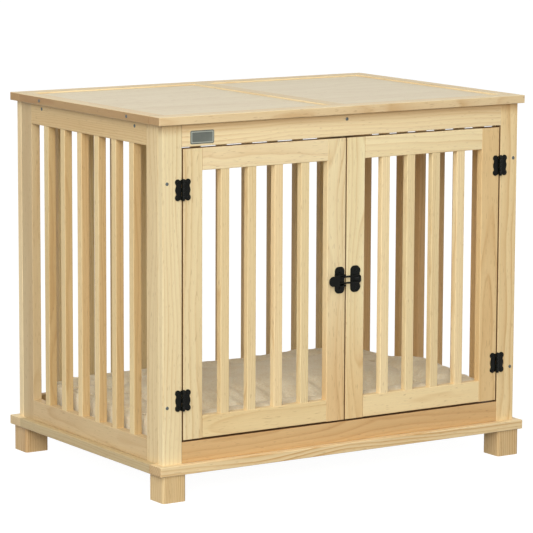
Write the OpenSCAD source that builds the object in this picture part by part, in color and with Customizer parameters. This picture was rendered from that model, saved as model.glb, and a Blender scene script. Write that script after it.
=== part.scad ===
// Slatted pine crate for a dog, made as furniture: a frame-and-panel top, a base of the same make
// on four square feet, four slatted walls, a pair of front doors on scalloped butterfly hinges,
// a draw latch with a wire loop, and a floor cushion. All sizes are millimetres.
// X runs to the right along the front, the front faces -Y, Z is up, and the origin is the middle
// of the footprint on the floor.

/* [Body] */
// Width of the four walls over the front posts
body_width = 778; // [680:1:960]
// Depth of the walls over the front and back frames
body_depth = 529.4; // [460:0.2:700]
// Height of the walls between the base and the top
wall_height = 604.6; // [520:0.2:760]
// Thickness of the front and back frames
frame_thickness = 16; // [14:0.5:20]
// Thickness of the side frames
side_thickness = 18; // [15:0.5:22]
// Rounding of the long edges of every board
edge_rounding = 1.4; // [0.6:0.1:2.2]

/* [Feet and base] */
// Height of the feet
foot_height = 49; // [30:1:80]
// Width of the square feet
foot_width = 48; // [36:1:60]
// Rounding of the upright edges of the feet
foot_rounding = 5; // [2:0.5:9]
// Setback of a foot from the end of the base
foot_setback_side = 6.8; // [2:0.2:12]
// Setback of a foot from the front or back of the base
foot_setback_front = 3.6; // [1:0.2:10]
// Thickness of the base boards
base_thickness = 17.4; // [14:0.2:24]
// Width of the front and back base boards
base_long_width = 40; // [34:1:50]
// Width of the side boards and of the middle rail of the base
base_side_width = 40; // [34:1:50]
// Overhang of the base past the side walls
base_overhang_side = 13; // [6:0.5:20]
// Overhang of the base past the front and back frames
base_overhang_front = 14.3; // [12.5:0.1:20]

/* [Top] */
// Thickness of the boards that frame the top
top_thickness = 15; // [13:0.2:22]
// Width of the front and back boards of the top
top_long_width = 36; // [28:1:48]
// Width of the side boards and of the middle rail of the top
top_side_width = 31.6; // [26:0.2:44]
// Overhang of the top past the side walls
top_overhang_side = 11; // [4:0.5:18]
// Overhang of the top past the front and back frames
top_overhang_front = 7.3; // [3:0.1:12]
// Square section of the cleats under the top
cleat_width = 18; // [14:0.5:24]

/* [Panels] */
// Thickness of the plywood panels
panel_thickness = 5; // [4:0.2:6.5]
// Drop of a panel below the face of its frame
panel_recess = 3; // [1.5:0.1:5]
// Depth of the grooves that hold the panels
groove_depth = 8; // [6:0.5:11]
// Play of a panel or a tongue in its groove
groove_play = 0.15; // [0.05:0.05:0.4]
// Play left at the bottom of a groove, a mortise or a housing
end_play = 0.4; // [0.2:0.1:1]

/* [Wall frames] */
// Width of the front posts
front_stile_width = 39.5; // [34:0.5:48]
// Width of the back posts
back_stile_width = 38; // [34:0.5:48]
// Width of the side posts, seen from the side
side_stile_width = 39.7; // [30:0.1:50]
// Height of the top rails of all four walls
top_rail_height = 40; // [30:0.5:50]
// Height of the bottom rails of all four walls
bottom_rail_height = 38.6; // [30:0.2:50]
// Length of the tenons on the rails
tenon_length = 18; // [10:0.5:22]
// Thickness of the tenons
tenon_thickness = 6; // [4:0.5:8]
// Shoulder above and below each tenon
tenon_shoulder = 6; // [4:0.5:9]
// Play round a tenon or a slat end
joint_play = 0.12; // [0.05:0.01:0.3]

/* [Slats] */
// Width of the slats in the back wall and in the doors
slat_width = 18; // [14:0.5:22]
// Width of the slats in the side walls
side_slat_width = 17; // [13:0.5:22]
// Setback of every slat from the faces of its frame
slat_setback = 1; // [0.4:0.1:2]
// Depth to which the slat ends are housed in the rails
slat_housing = 6; // [4:0.5:9]
// Number of slats in the back wall
back_slats_count = 11; // [8:1:13]
// Number of slats in each side wall
side_slats_count = 6; // [4:1:8]
// Number of slats in each door
door_slats_count = 4; // [3:1:6]

/* [Doors] */
// Thickness of the doors
door_thickness = 15.6; // [13:0.1:15.7]
// Width of the door stiles
door_stile_width = 40; // [36:0.5:48]
// Height of the door rails
door_rail_height = 40; // [34:0.5:48]
// Gap between a door and its post
hinge_gap = 2.6; // [2.2:0.1:3.2]
// Gap between the two doors
meeting_gap = 2; // [1.6:0.1:4]
// Gap under the doors
door_foot_gap = 3.3; // [2:0.1:6]
// Gap above the doors
door_head_gap = 3; // [2:0.1:6]
// Width of the stop block behind the doors
stop_width = 52; // [30:1:80]
// Thickness of the stop block
stop_thickness = 16; // [10:0.5:20]
// Reach of the stop block below the top rail
stop_drop = 15; // [8:0.5:25]

/* [Hinges] */
// Height of the hinges
hinge_height = 38.5; // [35:0.5:46]
// Distance from the end of a door to the middle of its hinge
hinge_inset = 72; // [64:0.5:110]
// Reach of each leaf from the pin
leaf_reach = 16; // [14.5:0.5:18]
// Thickness of the leaves
leaf_thickness = 1.5; // [1.2:0.1:1.6]
// Radius of the lobes that carry the screws
lobe_radius = 5.6; // [5:0.1:6.4]
// Radius of the arc in the middle of the edge of a leaf
bump_radius = 13; // [9:0.5:16]
// Depth of the notches between the lobes and that arc
notch_depth = 2.2; // [1.4:0.1:2.8]
// Outside radius of the knuckles
knuckle_radius = 2.8; // [2.4:0.05:2.9]
// Distance from the face of the door to the middle of the pin
pin_out = 3; // [2.95:0.05:3.4]
// Radius of the hinge pins
pin_radius = 1.4; // [1:0.05:1.6]
// Running clearance of a pin in its knuckle, on the radius
pin_clearance = 0.05; // [0.03:0.01:0.09]
// Height of the button at each end of a pin
pin_button = 0.8; // [0.5:0.1:1.2]
// Gap between two knuckles
knuckle_gap = 0.3; // [0.2:0.05:0.6]
// Number of knuckles on a hinge, an odd number
knuckles_count = 5; // [3:2:7]

/* [Latch] */
// Height of the two latch plates
latch_height = 49; // [46:0.5:58]
// Thickness of the two latch plates
latch_plate_thickness = 1.2; // [1:0.1:1.6]
// Width of the plate that carries the lever
lever_plate_width = 21; // [19:0.5:23]
// Distance from the edge of the door to that plate
lever_plate_inset = 2.4; // [1.5:0.1:4]
// Width of the catch plate
catch_plate_width = 22; // [20:0.5:26]
// Distance from the edge of the door to the catch plate
catch_plate_inset = 9; // [7:0.5:11.5]
// Rounding of the corners of the two plates
plate_corner = 8; // [6:0.5:9]
// Depth of the notches in the edge of the catch plate
catch_notch = 1.8; // [1:0.1:2.4]
// Radius of the scallops between these notches
catch_lobe_radius = 7; // [6:0.1:7.4]
// Height of the lever pivot above the door
pivot_out = 7.6; // [7.4:0.1:8.4]
// Radius of the rivets on which the lever turns
rivet_radius = 1.2; // [1:0.05:1.4]
// Distance from the lever pivot back to the hinge of the loop
loop_back = 8; // [7.5:0.1:9.5]
// Height of the wire loop above the door
loop_out = 3.9; // [3.8:0.05:4.1]
// Radius of the wire of the loop
wire_radius = 1.7; // [1.2:0.05:1.75]
// Distance between the middles of the two long sides of the loop
loop_width = 11.5; // [11:0.25:13]
// Gap between the end of the loop and the hook
hook_gap = 1; // [0.9:0.05:1.5]
// Width of the hook
hook_width = 6.5; // [5:0.25:7]
// Radius of the finger tab of the lever
tab_radius = 9.3; // [7:0.1:11]
// Distance from the lever pivot to the middle of the finger tab
tab_reach = 26; // [23:0.5:28]
// Thickness of the sheet of the lever
lever_sheet = 1.2; // [1:0.1:1.4]

/* [Fixings and badge] */
// Radius of the heads of the frame screws
screw_head_radius = 3.2; // [2.6:0.1:4]
// Height of the domed screw heads
screw_head_height = 1.2; // [0.8:0.1:1.6]
// Radius of the screw shanks
screw_shank_radius = 1.6; // [1.2:0.1:2]
// Play of a shank in its hole, on the radius
screw_play = 0.08; // [0.03:0.01:0.2]
// Radius of the heads of the hinge and latch screws
small_head_radius = 2.9; // [2.4:0.1:3.2]
// Height of the heads of the hinge and latch screws
small_head_height = 0.9; // [0.6:0.1:1]
// Radius of the shanks of the hinge and latch screws
small_shank_radius = 1.3; // [1:0.1:1.5]
// Depth to which the hinge and latch screws enter the wood
small_screw_depth = 11; // [8:0.5:12]
// Distance of the post screws from the top and the bottom of the walls
post_screw_inset = 103; // [80:1:140]
// Distance of the rail screws from the top of the walls
rail_screw_drop = 9; // [7:0.5:12]
// Distance of the side rail screws from the middle
side_screw_spread = 169; // [100:1:190]
// Distance of the edge screws of the top from the middle
edge_screw_spread = 159; // [90:1:190]
// Width of the badge
badge_width = 49; // [30:1:70]
// Height of the badge
badge_height = 24; // [16:0.5:30]
// Thickness of the badge
badge_thickness = 1.2; // [0.8:0.1:2]
// Distance from the post to the badge
badge_inset = 17; // [8:1:60]

/* [Cushion] */
// Gap between the cushion and the side walls
cushion_side_gap = 8; // [4:0.5:20]
// Gap between the cushion and the front and back walls
cushion_front_gap = 8; // [4:0.5:20]
// Height of the sides of the cushion
cushion_side_height = 72; // [40:1:90]
// Extra height of the cushion in its middle
cushion_crown = 16; // [6:1:30]
// Depth to which the sides pull in between the corners
cushion_pull = 8; // [2:0.5:14]
// Depth of the puckers at the corners of the cushion
cushion_pucker = 2.4; // [0:0.1:4]
// Rounding of the corners of the cushion
cushion_corner = 46; // [25:1:80]

/* [Hidden] */
$fn = 48;

badge_drop = 4;
badge_corner = 3;

half_w = body_width / 2;
half_d = body_depth / 2;
wall_bottom = foot_height + base_thickness;
wall_top = wall_bottom + wall_height;
wall_middle = (wall_bottom + wall_top) / 2;
rail_low_top = wall_bottom + bottom_rail_height;
rail_high_bottom = wall_top - top_rail_height;
side_half = half_d - frame_thickness;
side_opening = side_half - side_stile_width;
front_opening = half_w - front_stile_width;
back_opening = half_w - back_stile_width;
inner_half = half_w - side_thickness;

door_outer = front_opening - hinge_gap;
door_inner = meeting_gap / 2;
door_width = door_outer - door_inner;
door_middle = (door_outer + door_inner) / 2;
door_bottom = rail_low_top + door_foot_gap;
door_top = rail_high_bottom - door_head_gap;
door_height = door_top - door_bottom;
door_y = -half_d + door_thickness / 2;
door_low = door_bottom + door_rail_height;
door_opening = door_width - 2 * door_stile_width;
door_slat_thickness = door_thickness - 2 * slat_setback;
door_high = door_top - door_rail_height;

hinge_x = front_opening - hinge_gap / 2;
hinge_y = -half_d - pin_out;
hinge_levels = [door_bottom + hinge_inset, door_top - hinge_inset];
barrel_height = hinge_height - 2 * pin_button - 0.2;
knuckle_height = (barrel_height - (knuckles_count - 1) * knuckle_gap) / knuckles_count;
leaf_root = knuckle_radius + knuckle_gap;
lobe_x = leaf_reach - lobe_radius;
lobe_z = hinge_height / 2 - lobe_radius;
leaf_end_inset = 1.9;
bump_inset = 0.6;
frame_knuckles = [for (i = [0:2:knuckles_count - 1]) i];
door_knuckles = [for (i = [1:2:knuckles_count - 1]) i];

latch_z = (door_bottom + door_top) / 2;
lever_plate_x = -door_inner - lever_plate_inset - lever_plate_width / 2;
catch_plate_x = door_inner + catch_plate_inset + catch_plate_width / 2;
catch_body_x = catch_plate_x - catch_notch / 2;
plate_screw_z = latch_height / 2 - lever_plate_width / 2 + 2;
loop_side = loop_width / 2;
ear_play = 0.3;
ear_z = loop_side + wire_radius + 0.4;
ear_sheet = 1;
flange_z = ear_z + ear_sheet + ear_play;
lever_z = flange_z + lever_sheet;
ear_radius = 3.4;
rivet_head_height = 0.8;
rivet_head_rim = 1;
pivot_inset = 4.6;
pivot_x = lever_plate_x + lever_plate_width / 2 - pivot_inset;
loop_x = pivot_x - loop_back;
loop_bend = 3;
hook_offset = 6;
hook_length = 8;
hook_crest = 2.4;
hook_top = loop_out + wire_radius + 1;
hook_right = catch_plate_x + hook_offset;
hook_left = hook_right - hook_length;
loop_end = hook_right + hook_gap + wire_radius;
web_rise = 2.6;
web_out = pivot_out + web_rise;
web_right = loop_x - 4.5;
tab_x = pivot_x - tab_reach;

top_half_x = half_w + top_overhang_side;
top_half_y = half_d + top_overhang_front;
base_half_x = half_w + base_overhang_side;
base_half_y = half_d + base_overhang_front;
side_screw_depth = 22;
cleat_screw_depth = cleat_width - 4;
edge_screw_depth = top_side_width - groove_depth - 4;
rail_screw_z = wall_top - rail_screw_drop;
cleat_bottom = wall_top - cleat_width;

foot_x = base_half_x - foot_setback_side - foot_width / 2;
foot_y = base_half_y - foot_setback_front - foot_width / 2;

// A framed slab: half length, half depth, width of long boards, width of side boards, level of
// its underside and thickness
top_slab = [top_half_x, top_half_y, top_long_width, top_side_width, wall_top, top_thickness];
base_slab = [base_half_x, base_half_y, base_long_width, base_side_width, foot_height,
  base_thickness];

wood = [0.87, 0.77, 0.58];
orange_wood = [0.78, 0.61, 0.40];
plywood = [0.85, 0.79, 0.66];
black = [0.10, 0.10, 0.11];
silver = [0.62, 0.63, 0.62];
fabric = [0.74, 0.69, 0.56];

// Boards and joints

function corner_arc(x, y, r, a) =
  [for (i = [0:4]) [x + r * cos(a + 22.5 * i), y + r * sin(a + 22.5 * i)]];

function rounded(w, h, r) = concat(
  corner_arc(w / 2 - r, h / 2 - r, r, 0),
  corner_arc(-w / 2 + r, h / 2 - r, r, 90),
  corner_arc(-w / 2 + r, -h / 2 + r, r, 180),
  corner_arc(w / 2 - r, -h / 2 + r, r, 270));

// Boards with rounded long edges, lying along X, Y or Z, about their own middle
module along_x(length, y, z, r = edge_rounding) {
  rotate([90, 0, 90]) linear_extrude(length, center = true) polygon(rounded(y, z, r));
}

module along_y(length, x, z, r = edge_rounding) {
  rotate([90, 0, 0]) linear_extrude(length, center = true) polygon(rounded(x, z, r));
}

module along_z(length, x, y, r = edge_rounding) {
  linear_extrude(length, center = true) polygon(rounded(x, y, r));
}

module block(x, y, z) {
  cube([x, y, z], center = true);
}

// A hole for a shank, sunk from a face into the wood along -Z
module shank_hole(depth, r) {
  translate([0, 0, -depth - end_play]) cylinder(h = depth + end_play + 1, r = r + screw_play);
}

// A domed screw that points along -Z, with its head on z = 0
module screw(depth, shank, head, height) {
  union() {
    translate([0, 0, -depth]) cylinder(h = depth + height / 2, r = shank);
    cylinder(h = height * 0.55, r1 = head, r2 = head * 0.93);
    translate([0, 0, height * 0.55 - 0.01])
      cylinder(h = height * 0.45, r1 = head * 0.93, r2 = head * 0.6);
  }
}

// Framed slabs, for the top and for the base

function slab_groove_z(s) = s[4] + s[5] - panel_recess - panel_thickness / 2;

module slab_groove(s, length) {
  block(length, 2 * groove_depth, panel_thickness + 2 * groove_play);
}

// A long board along the front (side = -1) or the back (side = 1)
module slab_long(s, side) {
  y = side * (s[1] - s[2] / 2);
  difference() {
    translate([0, y, s[4] + s[5] / 2]) intersection() {
      along_x(2 * s[0], s[2], s[5]);
      along_y(s[2], 2 * s[0], s[5]);
      along_z(s[5], 2 * s[0], s[2]);
    }
    translate([0, side * (s[1] - s[2]), slab_groove_z(s)])
      slab_groove(s, 2 * (s[0] - groove_depth));
  }
}

// A board between the long ones, from front to back, at x, grooved on the given sides
module slab_cross(s, x, sides, tongue) {
  length = 2 * (s[1] - s[2]);
  difference() {
    union() {
      translate([x, 0, s[4] + s[5] / 2]) along_y(length, s[3], s[5]);
      translate([x + tongue[0], 0, slab_groove_z(s)])
        block(tongue[1], length + 2 * (groove_depth - end_play), panel_thickness);
    }
    for (side = sides) {
      translate([x + side * s[3] / 2, 0, slab_groove_z(s)])
        block(2 * groove_depth, length + 4 * groove_depth, panel_thickness + 2 * groove_play);
    }
  }
}

module slab_side(s, side) {
  cut = groove_depth + end_play;
  slab_cross(s, side * (s[0] - s[3] / 2), [-side], [-side * cut / 2, s[3] - cut]);
}

module slab_middle(s) {
  slab_cross(s, 0, [-1, 1], [0, s[3]]);
}

module slab_panel(s, side) {
  x0 = s[3] / 2 - groove_depth + end_play;
  x1 = s[0] - s[3] + groove_depth - end_play;
  depth = 2 * (s[1] - s[2] + groove_depth - end_play);
  translate([side * (x0 + x1) / 2, 0, slab_groove_z(s)]) block(x1 - x0, depth, panel_thickness);
}

// Wall frames: posts with mortises, rails with tenons and housings for the slats

// The mortise for a rail of the given height, with the rail coming from +X at the origin
module mortise(height) {
  translate([-tenon_length / 2 - end_play / 2 + 0.5, 0, 0])
    block(tenon_length + end_play + 1, tenon_thickness + 2 * joint_play,
      height - 2 * tenon_shoulder + 2 * joint_play);
}

// A rail along X between two posts, with a tenon at each end
module rail(length, thickness, height) {
  union() {
    along_x(length, thickness, height);
    block(length + 2 * tenon_length, tenon_thickness, height - 2 * tenon_shoulder);
  }
}

function slat_pitch(opening, width, count) = (opening + width) / (count + 1);
function slat_places(opening, width, count) = [for (i = [1:count])
  -opening / 2 - width / 2 + i * slat_pitch(opening, width, count)];

// The housings for the slat ends, sunk into a rail from its edge at z = 0 towards -Z
module housings(opening, width, thickness, count) {
  for (x = slat_places(opening, width, count)) {
    translate([x, 0, (2 - slat_housing) / 2])
      block(width + 2 * joint_play, thickness + 2 * joint_play, slat_housing + 2);
  }
}

module slats(opening, width, thickness, count, z0, z1) {
  length = z1 - z0 + 2 * (slat_housing - end_play);
  for (x = slat_places(opening, width, count)) {
    translate([x, 0, (z0 + z1) / 2]) along_z(length, width, thickness);
  }
}

// A post of the front or back frame: its inner edge looks towards -side
module wall_post(side, y, width) {
  x = side * (half_w - width / 2);
  difference() {
    translate([x, y, wall_middle]) along_z(wall_height, width, frame_thickness);
    for (r = [[rail_low_top - bottom_rail_height / 2, bottom_rail_height],
        [rail_high_bottom + top_rail_height / 2, top_rail_height]]) {
      translate([side * (half_w - width), y, r[0]]) mirror([side > 0 ? 1 : 0, 0, 0]) mortise(r[1]);
    }
  }
}

module front_post(side) {
  difference() {
    wall_post(side, -half_d + frame_thickness / 2, front_stile_width);
    for (z = [wall_bottom + post_screw_inset, wall_top - post_screw_inset]) {
      translate([side * (half_w - side_thickness / 2), -half_d, z]) rotate([90, 0, 0])
        shank_hole(frame_thickness + 1, screw_shank_radius);
    }
    for (z = hinge_levels, e = [-1, 1]) {
      translate([side * (hinge_x + lobe_x), -half_d, z + e * lobe_z]) rotate([90, 0, 0])
        shank_hole(small_screw_depth, small_shank_radius);
    }
  }
}

module wall_rail(y, opening, height, z) {
  translate([0, y, z]) rail(2 * opening, frame_thickness, height);
}

module back_housings() {
  housings(2 * back_opening, slat_width, frame_thickness - 2 * slat_setback, back_slats_count);
}

// Side walls

// A post of a side wall, at the front (end = -1) or the back (end = 1)
module side_post(side, end) {
  difference() {
    translate([side * (half_w - side_thickness / 2), end * (side_half - side_stile_width / 2),
      wall_middle]) along_z(wall_height, side_thickness, side_stile_width);
    for (r = [[rail_low_top - bottom_rail_height / 2, bottom_rail_height],
        [rail_high_bottom + top_rail_height / 2, top_rail_height]]) {
      translate([side * (half_w - side_thickness / 2), end * side_opening, r[0]])
        rotate([0, 0, end > 0 ? -90 : 90]) mortise(r[1]);
    }
    if (end < 0) {
      for (z = [wall_bottom + post_screw_inset, wall_top - post_screw_inset]) {
        translate([side * (half_w - side_thickness / 2), -side_half, z]) rotate([90, 0, 0])
          shank_hole(side_screw_depth, screw_shank_radius);
      }
    }
  }
}

module side_rail(side, height, z) {
  translate([side * (half_w - side_thickness / 2), 0, z]) rotate([0, 0, 90])
    rail(2 * side_opening, side_thickness, height);
}

module side_housings(side) {
  translate([side * (half_w - side_thickness / 2), 0, 0]) rotate([0, 0, 90])
    housings(2 * side_opening, side_slat_width, side_thickness - 2 * slat_setback,
      side_slats_count);
}

module side_top_rail(side) {
  difference() {
    side_rail(side, top_rail_height, rail_high_bottom + top_rail_height / 2);
    translate([0, 0, rail_high_bottom]) mirror([0, 0, 1]) side_housings(side);
    for (y = [-side_screw_spread, side_screw_spread]) {
      translate([side * half_w, y, wall_top - rail_screw_drop]) rotate([0, side * 90, 0])
        shank_hole(side_thickness + 1, screw_shank_radius);
    }
  }
}

module side_bottom_rail(side) {
  difference() {
    side_rail(side, bottom_rail_height, rail_low_top - bottom_rail_height / 2);
    translate([0, 0, rail_low_top]) side_housings(side);
  }
}

module side_slats(side) {
  translate([side * (half_w - side_thickness / 2), 0, 0]) rotate([0, 0, 90])
    slats(2 * side_opening, side_slat_width, side_thickness - 2 * slat_setback, side_slats_count,
      rail_low_top, rail_high_bottom);
}

// Doors, drawn for the right hand side and mirrored for the left

module door_stile(x) {
  difference() {
    translate([x, door_y, latch_z]) along_z(door_height, door_stile_width, door_thickness);
    for (z = [door_bottom + door_rail_height / 2, door_top - door_rail_height / 2]) {
      if (x > door_middle) {
        translate([x - door_stile_width / 2, door_y, z]) mirror([1, 0, 0]) mortise(door_rail_height);
      } else {
        translate([x + door_stile_width / 2, door_y, z]) mortise(door_rail_height);
      }
    }
  }
}

module door_hinge_stile() {
  difference() {
    door_stile(door_outer - door_stile_width / 2);
    for (z = hinge_levels, e = [-1, 1]) {
      translate([hinge_x - lobe_x, -half_d, z + e * lobe_z]) rotate([90, 0, 0])
        shank_hole(small_screw_depth, small_shank_radius);
    }
  }
}

// The stile at the meeting edge, with the screw holes of a latch plate whose middle is at plate_x
module door_inner_stile(plate_x) {
  difference() {
    door_stile(door_inner + door_stile_width / 2);
    for (e = [-1, 1]) {
      translate([plate_x, -half_d, latch_z + e * plate_screw_z]) rotate([90, 0, 0])
        shank_hole(small_screw_depth, small_shank_radius);
    }
  }
}

module door_rail(top) {
  z = top ? door_top - door_rail_height / 2 : door_bottom + door_rail_height / 2;
  difference() {
    translate([door_middle, door_y, z]) rail(door_opening, door_thickness, door_rail_height);
    translate([door_middle, door_y, top ? door_high : door_low]) mirror([0, 0, top ? 1 : 0])
      housings(door_opening, slat_width, door_slat_thickness, door_slats_count);
  }
}

module door_slats() {
  translate([door_middle, door_y, 0])
    slats(door_opening, slat_width, door_slat_thickness, door_slats_count, door_low, door_high);
}

module left_hand() {
  mirror([1, 0, 0]) children();
}

// Hinges: scalloped leaves with interleaved knuckles, about the pin at the origin

module leaf_outline() {
  difference() {
    union() {
      translate([leaf_root, -hinge_height / 2 + leaf_end_inset])
        square([lobe_x - leaf_root, hinge_height - 2 * leaf_end_inset]);
      translate([leaf_root, -lobe_z]) square([leaf_reach - notch_depth - leaf_root, 2 * lobe_z]);
      for (e = [-1, 1]) {
        translate([lobe_x, e * lobe_z]) circle(r = lobe_radius);
      }
      intersection() {
        translate([leaf_reach - bump_radius - bump_inset, 0]) circle(r = bump_radius);
        translate([lobe_x, -lobe_z]) square([lobe_radius, 2 * lobe_z]);
      }
    }
    for (e = [-1, 1]) {
      translate([lobe_x, e * lobe_z]) circle(r = small_shank_radius + screw_play);
    }
  }
}

// One leaf that reaches towards +X, with the knuckles whose numbers are given
module leaf(knuckles) {
  difference() {
    union() {
      translate([0, pin_out, 0]) rotate([90, 0, 0]) linear_extrude(leaf_thickness) leaf_outline();
      for (i = knuckles) {
        z = -barrel_height / 2 + i * (knuckle_height + knuckle_gap);
        translate([0, 0, z]) cylinder(h = knuckle_height, r = knuckle_radius);
        translate([0, pin_out - leaf_thickness, z])
          cube([leaf_root + 1, leaf_thickness, knuckle_height]);
      }
    }
    translate([0, 0, -hinge_height]) cylinder(h = 2 * hinge_height, r = pin_radius + pin_clearance);
  }
}

module at_hinges(side) {
  for (z = hinge_levels) {
    translate([side * hinge_x, hinge_y, z]) children();
  }
}

// A pin with a small button at each end
module hinge_pin() {
  side = knuckle_radius - 0.3;
  union() {
    cylinder(h = barrel_height + pin_button, r = pin_radius, center = true);
    for (e = [0, 1]) {
      mirror([0, 0, e]) translate([0, 0, barrel_height / 2 + 0.1]) {
        cylinder(h = pin_button * 0.6, r = side);
        translate([0, 0, pin_button * 0.6 - 0.01])
          cylinder(h = pin_button * 0.4 + 0.01, r1 = side, r2 = side - 0.7);
      }
    }
  }
}

// Latch: all pieces in the frame of the doors, with heights above the doors along -Y

// A flat shape in X and Z, raised from one height to another above the doors
module raised(from, to) {
  translate([0, -half_d - from, latch_z]) rotate([90, 0, 0]) linear_extrude(to - from) children();
}

// A flat shape in X and height, spread from one level to another either side of the middle
module flanges(from, to) {
  for (e = [0, 1]) {
    translate([0, -half_d, latch_z]) mirror([0, 0, e]) mirror([0, 1, 0])
      translate([0, 0, from]) linear_extrude(to - from) children();
  }
}

// A plate's outline about x, with round corners
module cornered(x, width, height) {
  for (i = [-1, 1], e = [-1, 1]) {
    translate([x + i * (width / 2 - plate_corner), e * (height / 2 - plate_corner)])
      circle(r = plate_corner);
  }
  translate([x - width / 2, -height / 2 + plate_corner]) square([width, height - 2 * plate_corner]);
  translate([x - width / 2 + plate_corner, -height / 2]) square([width - 2 * plate_corner, height]);
}

// A plate with the outline that is given, and a screw hole near each end at x
module plate(x) {
  difference() {
    raised(0, latch_plate_thickness) children();
    for (e = [-1, 1]) {
      translate([x, -half_d - latch_plate_thickness, latch_z + e * plate_screw_z]) rotate([90, 0, 0])
        shank_hole(small_screw_depth, small_shank_radius);
    }
  }
}

// The outline of the catch plate: three scallops along the edge on the side of the hinge
module catch_outline() {
  edge = catch_plate_x + catch_plate_width / 2;
  cornered(catch_body_x, catch_plate_width - catch_notch, latch_height);
  for (z = [-1, 0, 1] * (latch_height / 2 - plate_corner - 1.5)) {
    translate([edge - catch_lobe_radius, z]) circle(r = catch_lobe_radius);
  }
}

// Cushion: rings of one outline, from the underside over the crown

cushion_x = inner_half - cushion_side_gap;
cushion_y = side_half - cushion_front_gap;
cushion_floor = wall_bottom + 0.3;
side_points = 12;
corner_points = 4;
// Each ring: its share of the outline, of the side height, of the crown and of the pull
cushion_rings = [
  [0.900, 0, 0, 0.3], [0.970, 0.04, 0, 0.6], [0.995, 0.22, 0, 0.9], [1, 0.5, 0, 1],
  [0.995, 0.80, 0, 1], [0.976, 0.95, 0.02, 1], [0.940, 1, 0.14, 1], [0.870, 1, 0.38, 0.8],
  [0.750, 1, 0.62, 0.5], [0.590, 1, 0.82, 0.3], [0.380, 1, 0.94, 0.1], [0.160, 1, 0.99, 0]];

// Points of one side and the corner after it, with the side's normal turned by 90 degrees times q.
// Each point is its place in X and Y, its share of the pull and its share of the puckers.
function turned(p, q) =
  [p[0] * cos(90 * q) - p[1] * sin(90 * q), p[0] * sin(90 * q) + p[1] * cos(90 * q)];
function side_outline(q) =
  let (out = q % 2 == 0 ? cushion_x : cushion_y,
    run = (q % 2 == 0 ? cushion_y : cushion_x) - cushion_corner)
  concat(
    [for (i = [0:side_points]) let (t = 2 * i / side_points - 1)
      [turned([out, run * t], q), turned([1, 0], q), 1 - t * t, t * t * sin(1080 * t)]],
    [for (i = [1:corner_points]) let (a = 90 * i / (corner_points + 1))
      [turned([out - cushion_corner + cushion_corner * cos(a), run + cushion_corner * sin(a)], q),
        turned([cos(a), sin(a)], q), 0, i % 2 == 0 ? 0.8 : -0.8]]);

cushion_outline = [for (q = [0:3]) each side_outline(q)];

function cushion_point(p, ring) =
  let (pull = (cushion_pull * p[2] + cushion_pucker * p[3]) * ring[3])
  [p[0][0] * ring[0] - p[1][0] * pull, p[0][1] * ring[0] - p[1][1] * pull,
    cushion_floor + cushion_side_height * ring[1] + cushion_crown * ring[2]];

module cushion_body() {
  n = len(cushion_outline);
  m = len(cushion_rings);
  points = concat(
    [for (ring = cushion_rings, p = cushion_outline) cushion_point(p, ring)],
    [[0, 0, cushion_floor], [0, 0, cushion_floor + cushion_side_height + cushion_crown]]);
  sides = [for (j = [0:m - 2], i = [0:n - 1], k = [0:1])
    let (a = j * n + i, b = j * n + (i + 1) % n)
    k == 0 ? [a, a + n, b] : [b, a + n, b + n]];
  bottom = [for (i = [0:n - 1]) [n * m, i, (i + 1) % n]];
  top = [for (i = [0:n - 1]) [n * m + 1, (m - 1) * n + (i + 1) % n, (m - 1) * n + i]];
  polyhedron(points, concat(sides, bottom, top));
}

// The nodes: top

module top_front_board() {
  color(wood) slab_long(top_slab, -1);
}

module top_back_board() {
  color(wood) slab_long(top_slab, 1);
}

module edge_screw_holes(side) {
  for (y = [-edge_screw_spread, edge_screw_spread]) {
    translate([side * top_half_x, y, wall_top + top_thickness / 2]) rotate([0, side * 90, 0])
      shank_hole(edge_screw_depth, screw_shank_radius);
  }
}

module top_side_board(side) {
  color(wood) difference() {
    slab_side(top_slab, side);
    edge_screw_holes(side);
  }
}

module top_left_board() {
  top_side_board(-1);
}

module top_right_board() {
  top_side_board(1);
}

module top_middle_rail() {
  color(wood) slab_middle(top_slab);
}

module top_panel_left() {
  color(plywood) slab_panel(top_slab, -1);
}

module top_panel_right() {
  color(plywood) slab_panel(top_slab, 1);
}

module top_cleats() {
  z = wall_top - cleat_width / 2;
  color(wood) {
    for (e = [-1, 1]) {
      difference() {
        translate([0, e * (side_half - cleat_width / 2), z])
          along_x(2 * inner_half, cleat_width, cleat_width);
        if (e < 0) {
          translate([0, -side_half, rail_screw_z]) rotate([90, 0, 0])
            shank_hole(cleat_screw_depth, screw_shank_radius);
        }
      }
      difference() {
        translate([e * (inner_half - cleat_width / 2), 0, z])
          along_y(2 * (side_half - cleat_width - end_play), cleat_width, cleat_width);
        for (y = [-side_screw_spread, side_screw_spread]) {
          translate([e * inner_half, y, rail_screw_z]) rotate([0, e * 90, 0])
            shank_hole(cleat_screw_depth, screw_shank_radius);
        }
      }
    }
  }
}

// The nodes: front frame

module front_left_stile() {
  color(wood) front_post(-1);
}

module front_right_stile() {
  color(wood) front_post(1);
}

module front_top_rail() {
  color(wood) difference() {
    wall_rail(-half_d + frame_thickness / 2, front_opening, top_rail_height,
      rail_high_bottom + top_rail_height / 2);
    translate([0, -half_d, rail_screw_z]) rotate([90, 0, 0])
      shank_hole(frame_thickness + 1, screw_shank_radius);
  }
}

module front_bottom_rail() {
  color(orange_wood) wall_rail(-half_d + frame_thickness / 2, front_opening, bottom_rail_height,
    rail_low_top - bottom_rail_height / 2);
}

module door_stop() {
  height = cleat_bottom - rail_high_bottom + stop_drop;
  color(wood) translate([0, -side_half + stop_thickness / 2, cleat_bottom - height / 2])
    along_x(stop_width, stop_thickness, height);
}

// The nodes: back frame

module back_left_stile() {
  color(wood) wall_post(-1, half_d - frame_thickness / 2, back_stile_width);
}

module back_right_stile() {
  color(wood) wall_post(1, half_d - frame_thickness / 2, back_stile_width);
}

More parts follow.
